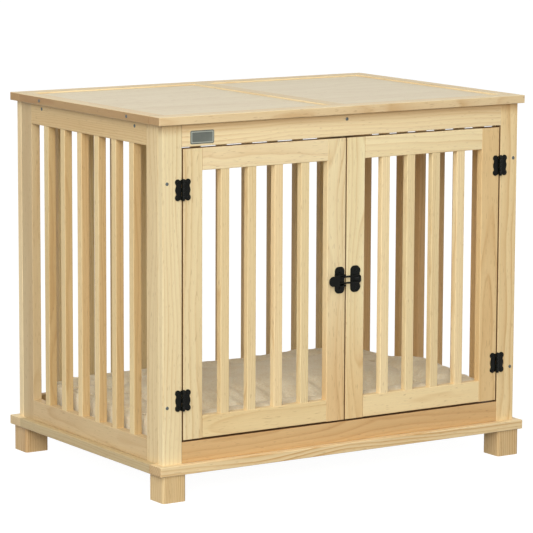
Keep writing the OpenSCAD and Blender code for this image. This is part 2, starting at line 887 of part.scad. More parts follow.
module back_top_rail() {
  color(wood) difference() {
    wall_rail(half_d - frame_thickness / 2, back_opening, top_rail_height,
      rail_high_bottom + top_rail_height / 2);
    translate([0, half_d - frame_thickness / 2, rail_high_bottom]) mirror([0, 0, 1]) back_housings();
  }
}

module back_bottom_rail() {
  color(orange_wood) difference() {
    wall_rail(half_d - frame_thickness / 2, back_opening, bottom_rail_height,
      rail_low_top - bottom_rail_height / 2);
    translate([0, half_d - frame_thickness / 2, rail_low_top]) back_housings();
  }
}

module back_slats() {
  color(wood) translate([0, half_d - frame_thickness / 2, 0])
    slats(2 * back_opening, slat_width, frame_thickness - 2 * slat_setback, back_slats_count,
      rail_low_top, rail_high_bottom);
}

// The nodes: side walls

module left_front_stile() {
  color(wood) side_post(-1, -1);
}

module left_back_stile() {
  color(wood) side_post(-1, 1);
}

module left_top_rail() {
  color(wood) side_top_rail(-1);
}

module left_bottom_rail() {
  color(orange_wood) side_bottom_rail(-1);
}

module left_slats() {
  color(wood) side_slats(-1);
}

module right_front_stile() {
  color(wood) side_post(1, -1);
}

module right_back_stile() {
  color(wood) side_post(1, 1);
}

module right_top_rail() {
  color(wood) side_top_rail(1);
}

module right_bottom_rail() {
  color(orange_wood) side_bottom_rail(1);
}

module right_slats() {
  color(wood) side_slats(1);
}

// The nodes: base

module base_front_board() {
  color(wood) slab_long(base_slab, -1);
}

module base_back_board() {
  color(wood) slab_long(base_slab, 1);
}

module base_left_board() {
  color(wood) slab_side(base_slab, -1);
}

module base_right_board() {
  color(wood) slab_side(base_slab, 1);
}

module base_middle_rail() {
  color(wood) slab_middle(base_slab);
}

module floor_panel_left() {
  color(plywood) slab_panel(base_slab, -1);
}

module floor_panel_right() {
  color(plywood) slab_panel(base_slab, 1);
}

module feet() {
  color(wood) for (x = [-1, 1], y = [-1, 1]) {
    translate([x * foot_x, y * foot_y, foot_height / 2])
      along_z(foot_height, foot_width, foot_width, foot_rounding);
  }
}

// The nodes: doors

module left_door_hinge_stile() {
  color(wood) left_hand() door_hinge_stile();
}

module left_door_latch_stile() {
  color(wood) left_hand() door_inner_stile(-lever_plate_x);
}

module left_door_top_rail() {
  color(wood) left_hand() door_rail(true);
}

module left_door_bottom_rail() {
  color(wood) left_hand() door_rail(false);
}

module left_door_slats() {
  color(wood) left_hand() door_slats();
}

module right_door_hinge_stile() {
  color(wood) door_hinge_stile();
}

module right_door_catch_stile() {
  color(wood) door_inner_stile(catch_body_x);
}

module right_door_top_rail() {
  color(wood) door_rail(true);
}

module right_door_bottom_rail() {
  color(wood) door_rail(false);
}

module right_door_slats() {
  color(wood) door_slats();
}

// The nodes: hinges

module hinge_frame_leaves() {
  color(black) {
    at_hinges(-1) mirror([1, 0, 0]) leaf(frame_knuckles);
    at_hinges(1) leaf(frame_knuckles);
  }
}

module left_door_hinge_leaves() {
  color(black) at_hinges(-1) leaf(door_knuckles);
}

module right_door_hinge_leaves() {
  color(black) at_hinges(1) mirror([1, 0, 0]) leaf(door_knuckles);
}

module hinge_pins() {
  color(black) for (side = [-1, 1]) {
    at_hinges(side) hinge_pin();
  }
}

// The nodes: latch

// The plate on the left door, with two ears whose rivets carry the lever
module latch_base() {
  foot = latch_plate_thickness / 2;
  color(black) union() {
    plate(lever_plate_x) cornered(lever_plate_x, lever_plate_width, latch_height);
    flanges(ear_z, ear_z + ear_sheet) {
      translate([pivot_x, pivot_out]) circle(r = ear_radius);
      translate([pivot_x - ear_radius, foot]) square([2 * ear_radius, pivot_out - foot]);
    }
    flanges(ear_z + ear_sheet / 2, lever_z + 0.2)
      translate([pivot_x, pivot_out]) circle(r = rivet_radius);
    flanges(lever_z + 0.1, lever_z + 0.1 + rivet_head_height)
      translate([pivot_x, pivot_out]) circle(r = rivet_radius + rivet_head_rim);
  }
}

// A stamped lever: two cheeks that turn on the rivets and hold the loop, joined by a web that
// ends in a round finger tab
module latch_lever() {
  bottom = loop_out - wire_radius - 0.6;
  left = tab_x + 6;
  color(black) difference() {
    union() {
      flanges(flange_z, lever_z) {
        translate([pivot_x, pivot_out]) circle(r = ear_radius);
        polygon([[pivot_x, pivot_out + ear_radius], [web_right, web_out + lever_sheet],
          [left, web_out + lever_sheet], [left, web_out - 1.5], [loop_x - 5, bottom],
          [loop_x + 2, bottom], [pivot_x, pivot_out - ear_radius]]);
      }
      raised(web_out, web_out + lever_sheet) {
        translate([left, -lever_z]) square([web_right - left, 2 * lever_z]);
        translate([tab_x, 0]) circle(r = tab_radius);
        polygon([[left + 1, -lever_z], [left + 1, lever_z], [tab_x, tab_radius - 1],
          [tab_x, -tab_radius + 1]]);
      }
    }
    for (hole = [[pivot_x, pivot_out, rivet_radius], [loop_x, loop_out, wire_radius]]) {
      translate([hole[0], -half_d - hole[1], latch_z])
        cylinder(h = 2 * lever_z + 2, r = hole[2] + pin_clearance, center = true);
    }
  }
}

// One wire bent into a loop: hooked ends in the lever, two long sides and a cross bar
module latch_loop() {
  long = loop_end - loop_bend - loop_x;
  color(black) translate([0, -half_d - loop_out, latch_z]) union() {
    for (e = [0, 1]) {
      mirror([0, 0, e]) {
        translate([loop_x, 0, loop_side]) cylinder(h = lever_z + 0.8 - loop_side, r = wire_radius);
        translate([loop_x, 0, loop_side]) sphere(r = wire_radius);
        translate([loop_x, 0, loop_side]) rotate([0, 90, 0]) cylinder(h = long, r = wire_radius);
        translate([loop_end - loop_bend, 0, loop_side - loop_bend]) rotate([90, 0, 0])
          rotate_extrude(angle = 90) translate([loop_bend, 0]) circle(r = wire_radius);
      }
    }
    translate([loop_end, 0, 0])
      cylinder(h = 2 * (loop_side - loop_bend), r = wire_radius, center = true);
  }
}

// The plate on the right door, with a hook that slopes up towards the bar of the loop
module latch_catch() {
  color(black) union() {
    plate(catch_body_x) catch_outline();
    flanges(0, hook_width / 2) polygon([[hook_left, latch_plate_thickness / 2],
      [hook_right, latch_plate_thickness / 2], [hook_right, hook_top],
      [hook_right - hook_crest, hook_top], [hook_left, latch_plate_thickness]]);
  }
}

// The nodes: fixings, badge and cushion

module wood_screw(depth) {
  screw(depth, screw_shank_radius, screw_head_radius, screw_head_height);
}

module small_screw(plate_thickness) {
  screw(small_screw_depth + plate_thickness, small_shank_radius, small_head_radius, small_head_height);
}

module frame_screws() {
  color(silver) {
    for (x = [-1, 1], z = [wall_bottom + post_screw_inset, wall_top - post_screw_inset]) {
      translate([x * (half_w - side_thickness / 2), -half_d, z]) rotate([90, 0, 0])
        wood_screw(frame_thickness + side_screw_depth);
    }
    translate([0, -half_d, rail_screw_z]) rotate([90, 0, 0])
      wood_screw(frame_thickness + cleat_screw_depth);
    for (x = [-1, 1], y = [-1, 1]) {
      translate([x * half_w, y * side_screw_spread, rail_screw_z]) rotate([0, x * 90, 0])
        wood_screw(side_thickness + cleat_screw_depth);
      translate([x * top_half_x, y * edge_screw_spread, wall_top + top_thickness / 2])
        rotate([0, x * 90, 0]) wood_screw(edge_screw_depth);
    }
  }
}

// The screws that hold the hinges to the front posts
module hinge_screws() {
  color(black) for (side = [-1, 1], z = hinge_levels, e = [-1, 1]) {
    translate([side * (hinge_x + lobe_x), -half_d - leaf_thickness, z + e * lobe_z]) rotate([90, 0, 0])
      small_screw(leaf_thickness);
  }
}

// The screws of one door: two hinges and one latch plate
module door_screws(side, plate_x) {
  color(black) {
    for (z = hinge_levels, e = [-1, 1]) {
      translate([side * (hinge_x - lobe_x), -half_d - leaf_thickness, z + e * lobe_z]) rotate([90, 0, 0])
        small_screw(leaf_thickness);
    }
    for (e = [-1, 1]) {
      translate([plate_x, -half_d - latch_plate_thickness, latch_z + e * plate_screw_z]) rotate([90, 0, 0])
        small_screw(latch_plate_thickness);
    }
  }
}

module left_door_screws() {
  door_screws(-1, lever_plate_x);
}

module right_door_screws() {
  door_screws(1, catch_body_x);
}

module badge_plate() {
  x = -front_opening + badge_inset + badge_width / 2;
  z = rail_high_bottom + top_rail_height / 2 - badge_drop;
  color(silver) translate([x, -half_d - badge_thickness / 2, z]) rotate([90, 0, 0])
    linear_extrude(badge_thickness, center = true)
      polygon(rounded(badge_width, badge_height, badge_corner));
}

module cushion() {
  color(fabric) cushion_body();
}

top_front_board();
top_back_board();
top_left_board();
top_right_board();
top_middle_rail();
top_panel_left();
top_panel_right();
top_cleats();
front_left_stile();
front_right_stile();
front_top_rail();
front_bottom_rail();
door_stop();
back_left_stile();
back_right_stile();
back_top_rail();
back_bottom_rail();
back_slats();
left_front_stile();
left_back_stile();
left_top_rail();
left_bottom_rail();
left_slats();
right_front_stile();
right_back_stile();
right_top_rail();
right_bottom_rail();
right_slats();
base_front_board();
base_back_board();
base_left_board();
base_right_board();
base_middle_rail();
floor_panel_left();
floor_panel_right();
feet();
left_door_hinge_stile();
left_door_latch_stile();
left_door_top_rail();
left_door_bottom_rail();
left_door_slats();
right_door_hinge_stile();
right_door_catch_stile();
right_door_top_rail();
right_door_bottom_rail();
right_door_slats();
hinge_frame_leaves();
left_door_hinge_leaves();
right_door_hinge_leaves();
hinge_pins();
latch_base();
latch_lever();
latch_loop();
latch_catch();
frame_screws();
hinge_screws();
left_door_screws();
right_door_screws();
badge_plate();
cushion();
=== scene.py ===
import math
import random

import bmesh
import bpy
from bpy.props import FloatProperty, FloatVectorProperty, PointerProperty
from mathutils import Matrix, Vector, noise
from mathutils.bvhtree import BVHTree


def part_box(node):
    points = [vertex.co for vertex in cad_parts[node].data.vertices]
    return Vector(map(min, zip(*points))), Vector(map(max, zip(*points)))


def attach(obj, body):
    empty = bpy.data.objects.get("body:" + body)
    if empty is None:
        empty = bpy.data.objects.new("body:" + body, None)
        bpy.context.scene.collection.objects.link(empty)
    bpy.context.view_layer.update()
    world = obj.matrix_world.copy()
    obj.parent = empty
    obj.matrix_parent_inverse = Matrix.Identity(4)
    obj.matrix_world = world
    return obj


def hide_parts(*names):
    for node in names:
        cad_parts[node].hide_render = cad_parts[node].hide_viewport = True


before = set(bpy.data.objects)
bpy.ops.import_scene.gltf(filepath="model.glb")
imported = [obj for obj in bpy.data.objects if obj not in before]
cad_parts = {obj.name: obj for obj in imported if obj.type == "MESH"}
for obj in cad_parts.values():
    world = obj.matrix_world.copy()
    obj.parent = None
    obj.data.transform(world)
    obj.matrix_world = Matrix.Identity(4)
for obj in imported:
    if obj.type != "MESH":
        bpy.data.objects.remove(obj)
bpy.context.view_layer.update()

bl_info = {
    "name": "Slatted pine crate",
    "version": (1, 0, 0),
    "blender": (4, 5, 0),
    "location": "View3D > Sidebar > Crate",
    "description": "Finishes a slatted pine dog crate: boards, panels, ironwork, badge and cushion",
    "category": "Object",
}

# The axes of the object in grain space, for boards that run along X, Y or Z
GRAIN = {"X": "XYZ", "Y": "YXZ", "Z": "ZXY", "RING": "XYZ"}
WHITE = (1, 1, 1, 1)
# Where a knot is put that no board is to have
FAR_AWAY = (90, 90, 90)
# Corners of the frame's loose triangles that lie closer than this are one
MERGE = 2e-6
# The rectangle of cleats under the top turns its corner at this X
CLEAT_CORNER = 0.353
# Heads of screws under this radius are the ironwork's. The height of those, and of the others
SMALL_HEAD, LOW_DOME, HIGH_DOME = 0.0031, 0.0009, 0.0012
# The cushion: half its width and depth, the radius of its corners, its underside, the height of
# its upper edge, how far in its sewn channel lies, and as far as its cover may reach
HALF_X, HALF_Y, CORNER = 0.357, 0.235, 0.05
FLOOR, RIM = 0.0672, 0.1335
CHANNEL = 0.084
REACH_X, REACH_Y = 0.368, 0.2455
# Its cover's voxels, the steps of its simulation, and the points along each seam
VOXEL, CLOTH_STEPS, SEAM_POINTS = 0.0061, 20, 260
# The camera: side of the photo and focal length in pixels, angles in degrees, place in metres
PHOTO_SIDE, FOCAL = 533, 3038.555
YAW, PITCH, ROLL = 33.0982, 8.8016, 0.2449
CAMERA_PLACE = (-3.10612, -4.76558, 1.23790)
LOOKED_AT = (0, 0, 0.35)


def srgb(red, green, blue):
    """Linear colour from the 0-255 values of a colour swatch."""
    def channel(c):
        c = c / 255
        return c / 12.92 if c <= 0.04045 else ((c + 0.055) / 1.055) ** 2.4
    return channel(red), channel(green), channel(blue)


def rgba(colour):
    return tuple(colour) + (1.0,)


# Sizes and colours that a user would change


class CrateWoodSettings(bpy.types.PropertyGroup):
    light: FloatVectorProperty(
        name="Early wood", description="Pale colour between the growth lines",
        subtype="COLOR", size=3, min=0, max=1, default=srgb(240, 219, 174))
    dark: FloatVectorProperty(
        name="Late wood", description="Colour of the growth lines",
        subtype="COLOR", size=3, min=0, max=1, default=srgb(206, 164, 106))
    warm: FloatVectorProperty(
        name="Warm board", description="Tint of the darker, more orange boards",
        subtype="COLOR", size=3, min=0, max=1, default=(0.78, 0.63, 0.48))
    # The gap tint is painted shade: it darkens the faces that show in the gaps round the doors,
    # where little light gets in
    gap: FloatVectorProperty(
        name="Gap", description="Tint of the faces that only show in the gaps round the doors",
        subtype="COLOR", size=3, min=0, max=1, default=(0.32, 0.24, 0.18))
    ring_width: FloatProperty(
        name="Ring width", description="Distance between two growth lines on a quartered face",
        subtype="DISTANCE", unit="LENGTH", min=0.0015, max=0.01, default=0.0042)
    contrast: FloatProperty(
        name="Contrast", description="How strongly the growth lines show",
        subtype="FACTOR", min=0, max=1, default=0.42)
    relief: FloatProperty(
        name="Relief", description="Depth of the fibres in the planed faces",
        subtype="DISTANCE", unit="LENGTH", min=0, max=0.0005, default=0.00008)
    gloss: FloatProperty(
        name="Roughness", description="Roughness of the clear water-based finish",
        subtype="FACTOR", min=0, max=1, default=0.5)


class CratePanelSettings(bpy.types.PropertyGroup):
    light: FloatVectorProperty(
        name="Veneer", description="Ground colour of the plywood veneer",
        subtype="COLOR", size=3, min=0, max=1, default=srgb(236, 221, 188))
    dark: FloatVectorProperty(
        name="Veneer figure", description="Colour of the faint figure in the veneer",
        subtype="COLOR", size=3, min=0, max=1, default=srgb(214, 190, 150))


class CrateIronSettings(bpy.types.PropertyGroup):
    colour: FloatVectorProperty(
        name="Lacquer", description="Black of the baked lacquer",
        subtype="COLOR", size=3, min=0, max=1, default=(0.0024, 0.0027, 0.0019))
    roughness: FloatProperty(
        name="Roughness", description="Roughness of the lacquer",
        subtype="FACTOR", min=0, max=1, default=0.32)
    edge: FloatProperty(
        name="Edge rounding", description="Rounding of the stamped edges",
        subtype="DISTANCE", unit="LENGTH", min=0, max=0.001, default=0.0003)
    recess: FloatProperty(
        name="Recess depth", description="Depth of the cross recess in the screw heads",
        subtype="DISTANCE", unit="LENGTH", min=0.0001, max=0.001, default=0.0006)


class CrateCushionSettings(bpy.types.PropertyGroup):
    light: FloatVectorProperty(
        name="Pile", description="Colour of the pile where it catches the light",
        subtype="COLOR", size=3, min=0, max=1, default=srgb(255, 246, 220))
    dark: FloatVectorProperty(
        name="Pile shade", description="Colour between the tufts of the pile",
        subtype="COLOR", size=3, min=0, max=1, default=srgb(246, 230, 196))
    pressure: FloatProperty(
        name="Filling", description="Pressure of the filling while the cover settles",
        min=0, max=12, default=4)
    cap: FloatProperty(
        name="Swell", description="Farthest that a point of the cover may move",
        subtype="DISTANCE", unit="LENGTH", min=0, max=0.04, default=0.014)


class CrateStageSettings(bpy.types.PropertyGroup):
    key: FloatProperty(
        name="Key light", description="Power of the large light high on the left in front",
        subtype="POWER", unit="POWER", min=0, max=2000, default=215)
    front: FloatProperty(
        name="Front light", description="Power of the low light on the left in front",
        subtype="POWER", unit="POWER", min=0, max=2000, default=265)
    side: FloatProperty(
        name="Side light", description="Power of the light on the left",
        subtype="POWER", unit="POWER", min=0, max=2000, default=28)
    back: FloatProperty(
        name="Back light", description="Power of the low light behind on the right",
        subtype="POWER", unit="POWER", min=0, max=2000, default=85)
    fill: FloatProperty(
        name="Room light", description="Strength of the light from all round",
        min=0, max=2, default=0.24)


# Node building


class Maker:
    """Adds nodes to a tree and joins them."""

    def __init__(self, tree):
        self.tree = tree

    def put(self, socket, value):
        if isinstance(value, bpy.types.NodeSocket):
            self.tree.links.new(value, socket)
        elif value is not None:
            socket.default_value = value

    def add(self, kind, values=None, **settings):
        node = self.tree.nodes.new(kind)
        for key, value in settings.items():
            setattr(node, key, value)
        for key, value in (values or {}).items():
            self.put(node.inputs[key], value)
        return node

    def math(self, operation, a, b=None, clamp=False):
        return self.add("ShaderNodeMath", {0: a, 1: b}, operation=operation,
                        use_clamp=clamp).outputs[0]

    def plus(self, a, b, clamp=False):
        return self.math("ADD", a, b, clamp)

    def times(self, a, b, clamp=False):
        return self.math("MULTIPLY", a, b, clamp)

    def divided(self, a, b):
        return self.math("DIVIDE", a, b)

    def highest(self, a, b):
        return self.math("MAXIMUM", a, b)

    def along(self, normal, low, high):
        """Rises from 0 to 1 with the share of a normal that lies along its axis."""
        return self.span(self.math("ABSOLUTE", normal), low, high)

    def vector(self, operation, a, b=None):
        node = self.add("ShaderNodeVectorMath", {0: a, 1: b}, operation=operation)
        return node.outputs["Value" if operation == "LENGTH" else "Vector"]

    def stretch(self, vector, x, y, z):
        return self.vector("MULTIPLY", vector, (x, y, z))

    def centred(self, colour):
        """A random colour as a vector of -0.5 to 0.5 each way."""
        return self.vector("SUBTRACT", colour, (0.5, 0.5, 0.5))

    def drifted(self, vector, colour, amount):
        """A vector moved by a random colour, by half the amount at most each way."""
        drift = self.add("ShaderNodeVectorMath", {0: self.centred(colour), "Scale": amount},
                         operation="SCALE")
        return self.vector("ADD", vector, drift.outputs[0])

    def split(self, vector):
        return self.add("ShaderNodeSeparateXYZ", {0: vector}).outputs

    def join(self, x, y, z):
        return self.add("ShaderNodeCombineXYZ", {0: x, 1: y, 2: z}).outputs[0]

    def noise(self, vector, scale=1.0, detail=2.0, roughness=0.5, distortion=0.0):
        """The value and the colour of a noise."""
        return self.add("ShaderNodeTexNoise", {
            "Vector": vector, "Scale": scale, "Detail": detail, "Roughness": roughness,
            "Distortion": distortion}).outputs

    def span(self, value, low, high, start=0.0, end=1.0, kind="LINEAR"):
        return self.add("ShaderNodeMapRange", {0: value, 1: low, 2: high, 3: start, 4: end},
                        interpolation_type=kind).outputs[0]

    def blend(self, factor, a, b, kind="MIX"):
        return self.add("ShaderNodeMix", {0: factor, 6: a, 7: b}, data_type="RGBA",
                        blend_type=kind).outputs[2]

    def tinted(self, a, b):
        return self.blend(1.0, a, b, "MULTIPLY")

    def shaded(self, colour, value):
        return self.tinted(colour, self.join(value, value, value))

    def ramp(self, value, stops):
        node = self.add("ShaderNodeValToRGB", {0: value})
        elements = node.color_ramp.elements
        while len(elements) < len(stops):
            elements.new(0.5)
        for element, (place, shade) in zip(elements, stops):
            element.position = place
            element.color = (shade, shade, shade, 1)
        return node.outputs[0]

    def cover(self, colour, roughness, height, strength, depth, plain):
        """Joins what varies over a surface to its shader, and sets the shader's plain values."""
        bump = self.add("ShaderNodeBump", {
            "Strength": strength, "Distance": depth, "Height": height})
        shader = self.tree.nodes["Principled BSDF"]
        for key, value in {"Base Color": colour, "Roughness": roughness,
                           "Normal": bump.outputs[0], **plain}.items():
            self.put(shader.inputs[key], value)


def group(name, inputs, outputs, kind="ShaderNodeTree"):
    """A node group with a maker for its nodes, its inputs and its outputs."""
    tree = bpy.data.node_groups.new(name, kind)
    for label, socket_type, default in inputs:
        socket = tree.interface.new_socket(
            label, in_out="INPUT", socket_type="NodeSocket" + socket_type)
        if default is not None:
            socket.default_value = default
    for label, socket_type in outputs:
        tree.interface.new_socket(
            label, in_out="OUTPUT", socket_type="NodeSocket" + socket_type)
    start, end = tree.nodes.new("NodeGroupInput"), tree.nodes.new("NodeGroupOutput")
    return tree, Maker(tree), start.outputs, end.inputs


def once(name, build):
    """The node group of that name, built where it isn't there yet."""
    return bpy.data.node_groups.get(name) or build(name)


def finish(name):
    """A new material, the maker of its nodes, and the place on the piece."""
    material = bpy.data.materials.new(name)
    material.use_nodes = True
    make = Maker(material.node_tree)
    return material, make, make.add("ShaderNodeTexCoord").outputs["Object"]


def pine_figure(name):
    """Growth rings about a wandering pith, fibres along the grain, resin flecks and one knot.

    The vector is in grain space: metres, with X along the grain.
    """
    tree, make, start, end = group(name, [
        ("Vector", "Vector", (0, 0, 0)), ("End", "Float", 0.0),
        ("Light", "Color", (0.8, 0.7, 0.45, 1)), ("Dark", "Color", (0.6, 0.4, 0.2, 1)),
        ("Ring Width", "Float", 0.004), ("Contrast", "Float", 0.5),
        ("Pith", "Vector", (0, 0.05, 0.04)), ("Wander", "Float", 0.02),
        ("Knot", "Vector", (9, 9, 9)), ("Knot Size", "Float", 0.006)],
        [("Color", "Color"), ("Roughness", "Float"), ("Height", "Float")])
    place = start["Vector"]

    def drawn_out(along, across, detail, roughness=0.5):
        """Noise by how often it changes along the grain and across it."""
        return make.noise(make.stretch(place, along, across, across),
                          detail=detail, roughness=roughness)

    # The pith wanders slowly, which bends the lines and makes pointed arches on a flat face
    bent = make.drifted(place, drawn_out(2.3, 5.0, 1.5)[1], start["Wander"])
    bent = make.drifted(bent, drawn_out(14.0, 60.0, 1.0)[1], 0.0016)

    # A knot pushes the lines apart round it
    from_knot = make.stretch(make.vector("SUBTRACT", place, start["Knot"]), 0.42, 1.0, 0.25)
    knot_share = make.divided(make.vector("LENGTH", from_knot), start["Knot Size"])
    push = make.math("EXPONENT", make.times(make.math("POWER", knot_share, 2.0), -0.30))
    push = make.times(push, make.times(start["Knot Size"], 1.9))

    from_pith = make.stretch(make.vector("SUBTRACT", bent, start["Pith"]), 0.0, 1.0, 1.0)
    radius = make.plus(make.vector("LENGTH", from_pith), push)
    years = make.noise(make.join(make.times(radius, 45.0), 0.0, 0.0), detail=1.0)[0]
    rings = make.plus(make.divided(radius, start["Ring Width"]), make.times(years, 2.6))
    line = make.ramp(make.math("FRACT", rings), [
        (0.0, 0.10), (0.10, 0.0), (0.45, 0.10), (0.72, 0.42), (0.90, 1.0), (1.0, 0.25)])
    strong = make.span(drawn_out(3.0, 38.0, 2.0)[0], 0.32, 0.68, 0.35, 1.25)
    line = make.times(make.times(line, strong), start["Contrast"], clamp=True)

    # Broad streaks of warmer wood, the fine fibres and the flecks of resin
    streaks = make.span(drawn_out(1.7, 22.0, 2.5)[0], 0.42, 0.74, 0.0, 0.27)
    fibre = drawn_out(22.0, 950.0, 2.0, roughness=0.6)[0]
    flecks = make.span(drawn_out(75.0, 620.0, 0.0)[0], 0.70, 0.80, 0.0, 0.32)
    colour = make.blend(make.plus(line, streaks, clamp=True), start["Light"], start["Dark"])
    colour = make.shaded(colour, make.span(fibre, 0.3, 0.7, 0.955, 1.035))
    colour = make.blend(flecks, colour, (0.36, 0.20, 0.085, 1))

    # The knot itself, and the darker, duller end grain
    heart = make.span(knot_share, 0.75, 1.05, 0.78, 0.0, "SMOOTHSTEP")
    rim = make.span(knot_share, 1.0, 2.3, 0.35, 0.0, "SMOOTHSTEP")
    colour = make.blend(make.highest(heart, rim), colour, (0.30, 0.135, 0.050, 1))
    ringed = make.blend(line, (0.60, 0.43, 0.24, 1), (0.17, 0.080, 0.030, 1))
    ended = make.blend(0.55, colour, ringed)
    make.put(end["Color"], make.blend(start["End"], colour, ended))

    rough = make.plus(make.span(fibre, 0.25, 0.75, 0.06, -0.04), make.times(line, -0.06))
    make.put(end["Roughness"], make.plus(rough, make.times(start["End"], 0.2)))
    make.put(end["Height"], make.plus(make.times(fibre, 0.55), make.times(line, 0.45)))
    return tree


def in_grain(axis, place):
    """A point of the object in the grain space of a board."""
    return Vector(place["XYZ".index(letter)] for letter in GRAIN[axis])


def board_material(name, settings, axis, tint=(1, 1, 1), edge=None, pitch=(), pith=None,
                   knot=None, knot_size=0.006, ring=1.0, contrast=1.0, shades=(), flank=None):
    """Pine along one axis. The pitch gives the axis, start and spacing of a node's like pieces.

    Each shade is (axis, start, full, tint): the tint grows along the axis from start to full.
    The edge is the tint of upright faces, and the flank is (axis, tint) for the faces that look
    along that axis.
    """
    rnd = random.Random(name)
    material, make, where = finish("pine " + name.replace("_", " "))
    point = dict(zip("XYZ", make.split(where)))
    facing = dict(zip("XYZ", make.split(where.node.outputs["Normal"])))
    shift = Vector((rnd.uniform(0, 9), rnd.uniform(-0.02, 0.02), rnd.uniform(-0.02, 0.02)))
    vector, end = make.join(*(point[letter] for letter in GRAIN[axis])), 0.0
    if axis == "RING":
        # A rectangle of cleats: the end ones run front to back
        far = make.math("GREATER_THAN", make.math("ABSOLUTE", point["X"]), CLEAT_CORNER)
        across = make.join(*(point[letter] for letter in GRAIN["Y"]))
        vector = make.add("ShaderNodeMix", {0: far, 4: vector, 5: across},
                          data_type="VECTOR").outputs[1]
    else:
        end = make.along(facing[axis], 0.75, 0.95)
    tone = rgba(tint)
    if edge:
        tone = make.blend(make.along(facing["Z"], 0.4, 0.7), rgba(edge), tone)
    if flank:
        side, colour = flank
        tone = make.blend(make.along(facing[side], 0.6, 0.9), tone,
                          rgba(a * b for a, b in zip(tint, colour)))
    for source, first, full, colour in shades:
        grown = make.span(point[source], first, full, 0.0, 1.0, "SMOOTHSTEP")
        tone = make.tinted(tone, make.blend(grown, WHITE, rgba(colour)))
    if pitch:
        index = 0.0
        for source, first, spacing in pitch:
            steps = make.divided(make.math("SUBTRACT", point[source], first), spacing)
            index = make.plus(make.times(index, 7.0), make.math("FLOOR", steps))
        chance = make.add("ShaderNodeTexWhiteNoise", {"W": make.plus(index, rnd.uniform(0, 50))},
                          noise_dimensions="1D").outputs
        hop = make.stretch(make.centred(chance["Color"]), 8.0, 0.03, 0.03)
        vector = make.vector("ADD", vector, hop)
        shade = make.span(chance["Value"], 0.0, 1.0, 0.93, 1.05)
        amber = make.span(chance["Value"], 0.0, 1.0, 0.88, 1.04)
        tone = make.tinted(make.join(shade, shade, amber), tone)

    # The pith stands off the middle of the board, so its face shows flat or quartered grain
    low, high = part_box(name)
    centre = in_grain(axis, (low + high) / 2)
    for source, _, _ in pitch:
        centre[GRAIN[axis].index(source)] = 0
    if pith is None:
        angle, reach = rnd.uniform(0, 2 * math.pi), rnd.uniform(0.03, 0.09)
        pith = (reach * math.cos(angle), reach * math.sin(angle))
    heart = Vector((0, centre[1] + pith[0], centre[2] + pith[1])) + Vector((0, *shift[1:]))
    figure = make.add("ShaderNodeGroup", {
        "Vector": make.vector("ADD", vector, tuple(shift)), "End": end,
        "Light": rgba(settings.light), "Dark": rgba(settings.dark),
        "Ring Width": settings.ring_width * ring, "Contrast": settings.contrast * contrast,
        "Pith": tuple(heart), "Wander": 0.03,
        "Knot": tuple(in_grain(axis, knot) + shift) if knot else FAR_AWAY,
        "Knot Size": knot_size}, node_tree=once("Pine figure", pine_figure)).outputs
    make.cover(make.tinted(figure["Color"], tone),
               make.plus(figure["Roughness"], settings.gloss, clamp=True),
               figure["Height"], 0.5, settings.relief, {"Specular IOR Level": 0.42})
    return material


def veneer_material(name, settings, shift):
    """Pale plywood veneer with a faint wide figure and short pores."""
    material, make, where = finish(name)
    figure = make.add("ShaderNodeGroup", {
        "Vector": make.vector("ADD", where, shift), "End": 0.0,
        "Light": rgba(settings.light), "Dark": rgba(settings.dark),
        "Ring Width": 0.0032, "Contrast": 0.22,
        "Pith": (0, shift[1], shift[2] - 0.045), "Wander": 0.05,
        "Knot": FAR_AWAY, "Knot Size": 0.005},
        node_tree=once("Pine figure", pine_figure)).outputs
    make.cover(figure["Color"], make.plus(figure["Roughness"], 0.48, clamp=True),
               figure["Height"], 0.4, 0.00006, {"Specular IOR Level": 0.45})
    return material


def lacquer_material(settings):
    """Black baked lacquer with a fine orange-peel surface and dust-dulled patches."""
    found = bpy.data.materials.get("black lacquer")
    if found:
        return found
    material, make, where = finish("black lacquer")
    patches = make.noise(where, scale=90.0, detail=3.0)[0]
    peel = make.noise(where, scale=900.0, detail=2.0)[0]
    colour = make.blend(make.span(patches, 0.35, 0.75), rgba(settings.colour),
                        rgba(c * 2.2 for c in settings.colour))
    rough = make.plus(make.span(patches, 0.3, 0.7, -0.06, 0.08), settings.roughness, clamp=True)
    make.cover(colour, rough, peel, 0.35, 0.00005, {"Specular IOR Level": 0.12})
    return material


def zinc_material():
    """Bluish zinc plating of the wood screws, mottled and a little darker in patches."""
    material, make, where = finish("zinc plating")
    mottle = make.noise(where, scale=1400.0, detail=3.0)[0]
    colour = make.blend(mottle, rgba(srgb(58, 62, 62)), rgba(srgb(122, 128, 126)))
    make.cover(colour, make.span(mottle, 0.3, 0.7, 0.30, 0.48), mottle, 0.3, 0.00003,
               {"Metallic": 0.7})
    return material


def badge_material(front):
    """Brushed nickel: a brighter raised border, and a darker field that lies lower than it."""
    material, make, where = finish("brushed nickel")
    brushed = make.noise(make.stretch(where, 60.0, 0.0, 5200.0), detail=2.0)[0]
    clouds = make.noise(where, scale=70.0, detail=2.0)[0]
    tone = make.plus(make.times(brushed, 0.55), make.times(clouds, 0.45))
    field = make.blend(tone, rgba(srgb(84, 88, 82)), rgba(srgb(128, 132, 122)))
    border = make.blend(tone, rgba(srgb(150, 154, 142)), rgba(srgb(196, 199, 186)))
    sunk = make.span(make.split(where)[1], front + 0.00008, front + 0.00028)
    make.cover(make.blend(sunk, border, field), make.span(brushed, 0.2, 0.8, 0.30, 0.46),
               brushed, 0.3, 0.00003, {"Metallic": 0.7})
    return material


